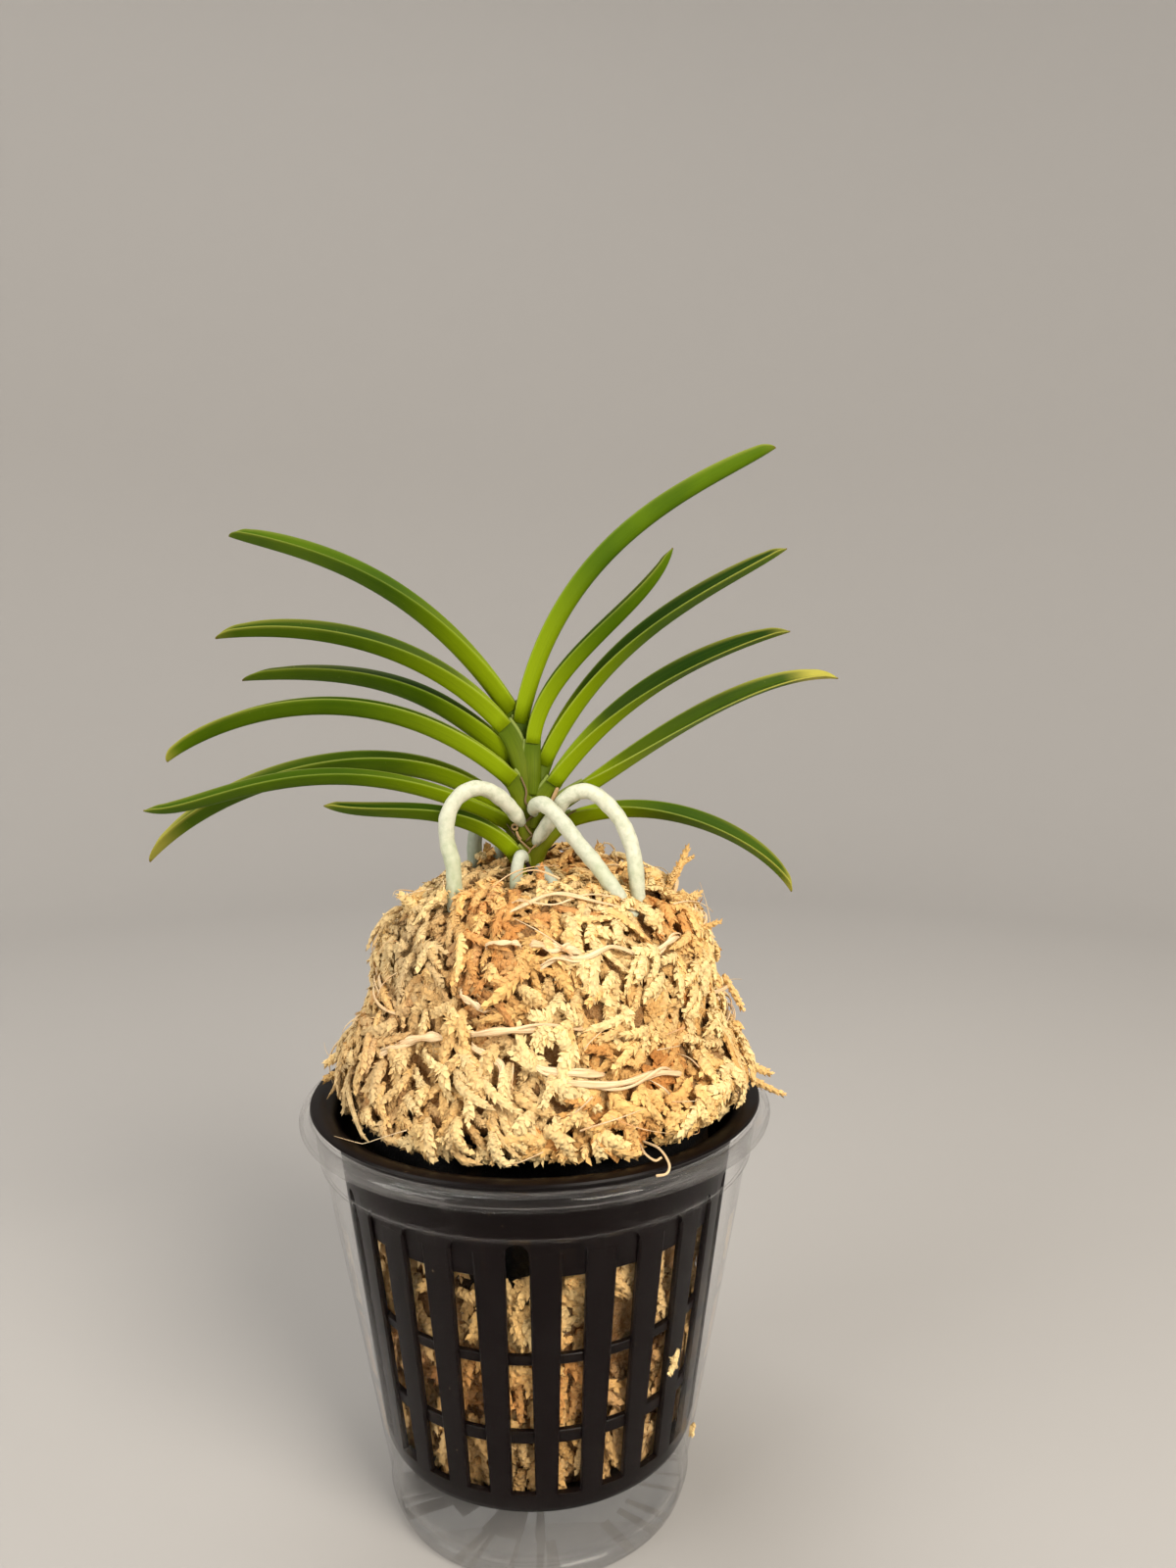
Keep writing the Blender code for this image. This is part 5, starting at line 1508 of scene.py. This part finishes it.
# The stage, the light and the camera. Each lamp has its place, size, share of the light and colour. The
# camera stands at the photo's viewpoint, 213 mm in front of the axis and 163 mm up, and looks down, to the
# right and a little askew.

LAMPS = {
    "window": ((0.42, -0.62, 0.62), 0.42, 0.85, (1.0, 0.93, 0.83)),
    "fill": ((-0.75, -0.45, 0.40), 0.6, 0.55, (0.98, 0.96, 0.92)),
    "above": ((-0.2, 0.3, 1.25), 0.7, 0.5, (0.98, 0.97, 0.95)),
}
LIT_POINT = (0.0, 0.0, 0.11)
CAMERA_PLACE = (0.0, -0.21285, 0.16309)
CAMERA_DEGREES = (5.38, 2.89, -0.35)


class ORCHID_PG_stage(bpy.types.PropertyGroup):
    colour: swatch("Colour", "Floor and backdrop", (0.40, 0.385, 0.37))
    light: FloatProperty(name="Light", description="Strength of the main light", default=12.3, min=0.0)


def set_pose(obj, *columns):
    """Gives an object its side, its up, its back and its place."""
    matrix = np.eye(4)
    matrix[:3] = np.stack(columns, axis=1)
    obj.matrix_world = Matrix(matrix.tolist())


class ORCHID_OT_stage(bpy.types.Operator):
    """Build the floor, the backdrop, the lights and the camera"""

    bl_idname = "orchid.stage"
    bl_label = "Stage"

    def execute(self, context):
        settings = context.scene.orchid_stage
        self.floor(settings)
        self.lights(context, settings)
        self.camera(context)
        return {"FINISHED"}

    def floor(self, settings):
        """A flat floor that curves up into a low round wall: radius r, height h (1 - cos) on the bend."""
        turn = np.linspace(0, np.pi / 2, 14)
        radius = np.concatenate([[0.05, 0.2, 0.4], 0.6 + 0.4 * np.sin(turn), [1.0]])
        height = np.concatenate([np.zeros(3), 0.4 * (1 - np.cos(turn)), [1.4]])
        rings = around(radius[:, None], turns(96), height[:, None])
        quads, _, fans = lattice(*rings.shape[:2])
        faces = turned_over(quads).tolist() + turned_over(fans[0]).tolist()
        mesh = bpy.data.meshes.new("stage_floor")
        mesh.from_pydata([*rings.reshape(-1, 3).tolist(), (0.0, 0.0, 0.0)], [], faces)
        mesh.shade_smooth()
        mesh.materials.append(stage_paint(settings))
        put("stage_floor", mesh)

    def lights(self, context, settings):
        world = bpy.data.worlds.new("soft_room")
        world.use_nodes = True
        world.node_tree.nodes["Background"].inputs["Color"].default_value = (0.92, 0.88, 0.82, 1.0)
        world.node_tree.nodes["Background"].inputs["Strength"].default_value = 0.38
        context.scene.world = world
        for name, (place, size, share, tint) in LAMPS.items():
            lamp = bpy.data.lights.new(name, "AREA")
            lamp.size = size
            lamp.energy = settings.light * share
            lamp.color = tint
            back = unit(np.array(place) - LIT_POINT)
            side = unit(np.cross(UP, back))
            set_pose(put(name, lamp), side, np.cross(back, side), back, place)

    def camera(self, context):
        pitch, yaw, roll = np.radians(CAMERA_DEGREES)
        ahead = np.array([math.sin(yaw) * math.cos(pitch), math.cos(yaw) * math.cos(pitch), -math.sin(pitch)])
        right = np.array([math.cos(yaw), -math.sin(yaw), 0.0])
        above = np.cross(right, ahead)
        side = right * math.cos(roll) + above * math.sin(roll)
        top = -right * math.sin(roll) + above * math.cos(roll)
        camera = bpy.data.cameras.new("camera")
        camera.lens = 24.95
        camera.sensor_width = 36.0
        camera.clip_start = 0.005
        context.scene.camera = put("camera", camera)
        set_pose(context.scene.camera, side, top, -ahead, CAMERA_PLACE)
        context.scene.view_settings.view_transform = "Standard"


OPERATORS = (
    ORCHID_OT_cup,
    ORCHID_OT_pot,
    ORCHID_OT_leaves,
    ORCHID_OT_sheaths,
    ORCHID_OT_husks,
    ORCHID_OT_roots,
    ORCHID_OT_moss,
    ORCHID_OT_stage,
)
GROUPS = {
    "orchid_cup": ORCHID_PG_cup,
    "orchid_pot": ORCHID_PG_pot,
    "orchid_leaf": ORCHID_PG_leaf,
    "orchid_root": ORCHID_PG_root,
    "orchid_moss": ORCHID_PG_moss,
    "orchid_stage": ORCHID_PG_stage,
}


class ORCHID_PT_panel(bpy.types.Panel):
    bl_idname = "ORCHID_PT_panel"
    bl_label = "Potted wind orchid"
    bl_space_type = "VIEW_3D"
    bl_region_type = "UI"
    bl_category = "Orchid"

    def draw(self, context):
        for operator in OPERATORS:
            self.layout.operator(operator.bl_idname)
        for key, group in GROUPS.items():
            box = self.layout.box()
            for name in group.__annotations__:
                box.prop(getattr(context.scene, key), name)


def register():
    for item in (*GROUPS.values(), *OPERATORS, ORCHID_PT_panel):
        bpy.utils.register_class(item)
    for key, group in GROUPS.items():
        setattr(bpy.types.Scene, key, PointerProperty(type=group))


def unregister():
    for key in GROUPS:
        delattr(bpy.types.Scene, key)
    for item in (ORCHID_PT_panel, *reversed(OPERATORS), *reversed(GROUPS.values())):
        bpy.utils.unregister_class(item)


def main():
    register()
    for operator in OPERATORS:
        group, name = operator.bl_idname.split(".")
        getattr(getattr(bpy.ops, group), name)()


if __name__ == "__main__":
    main()
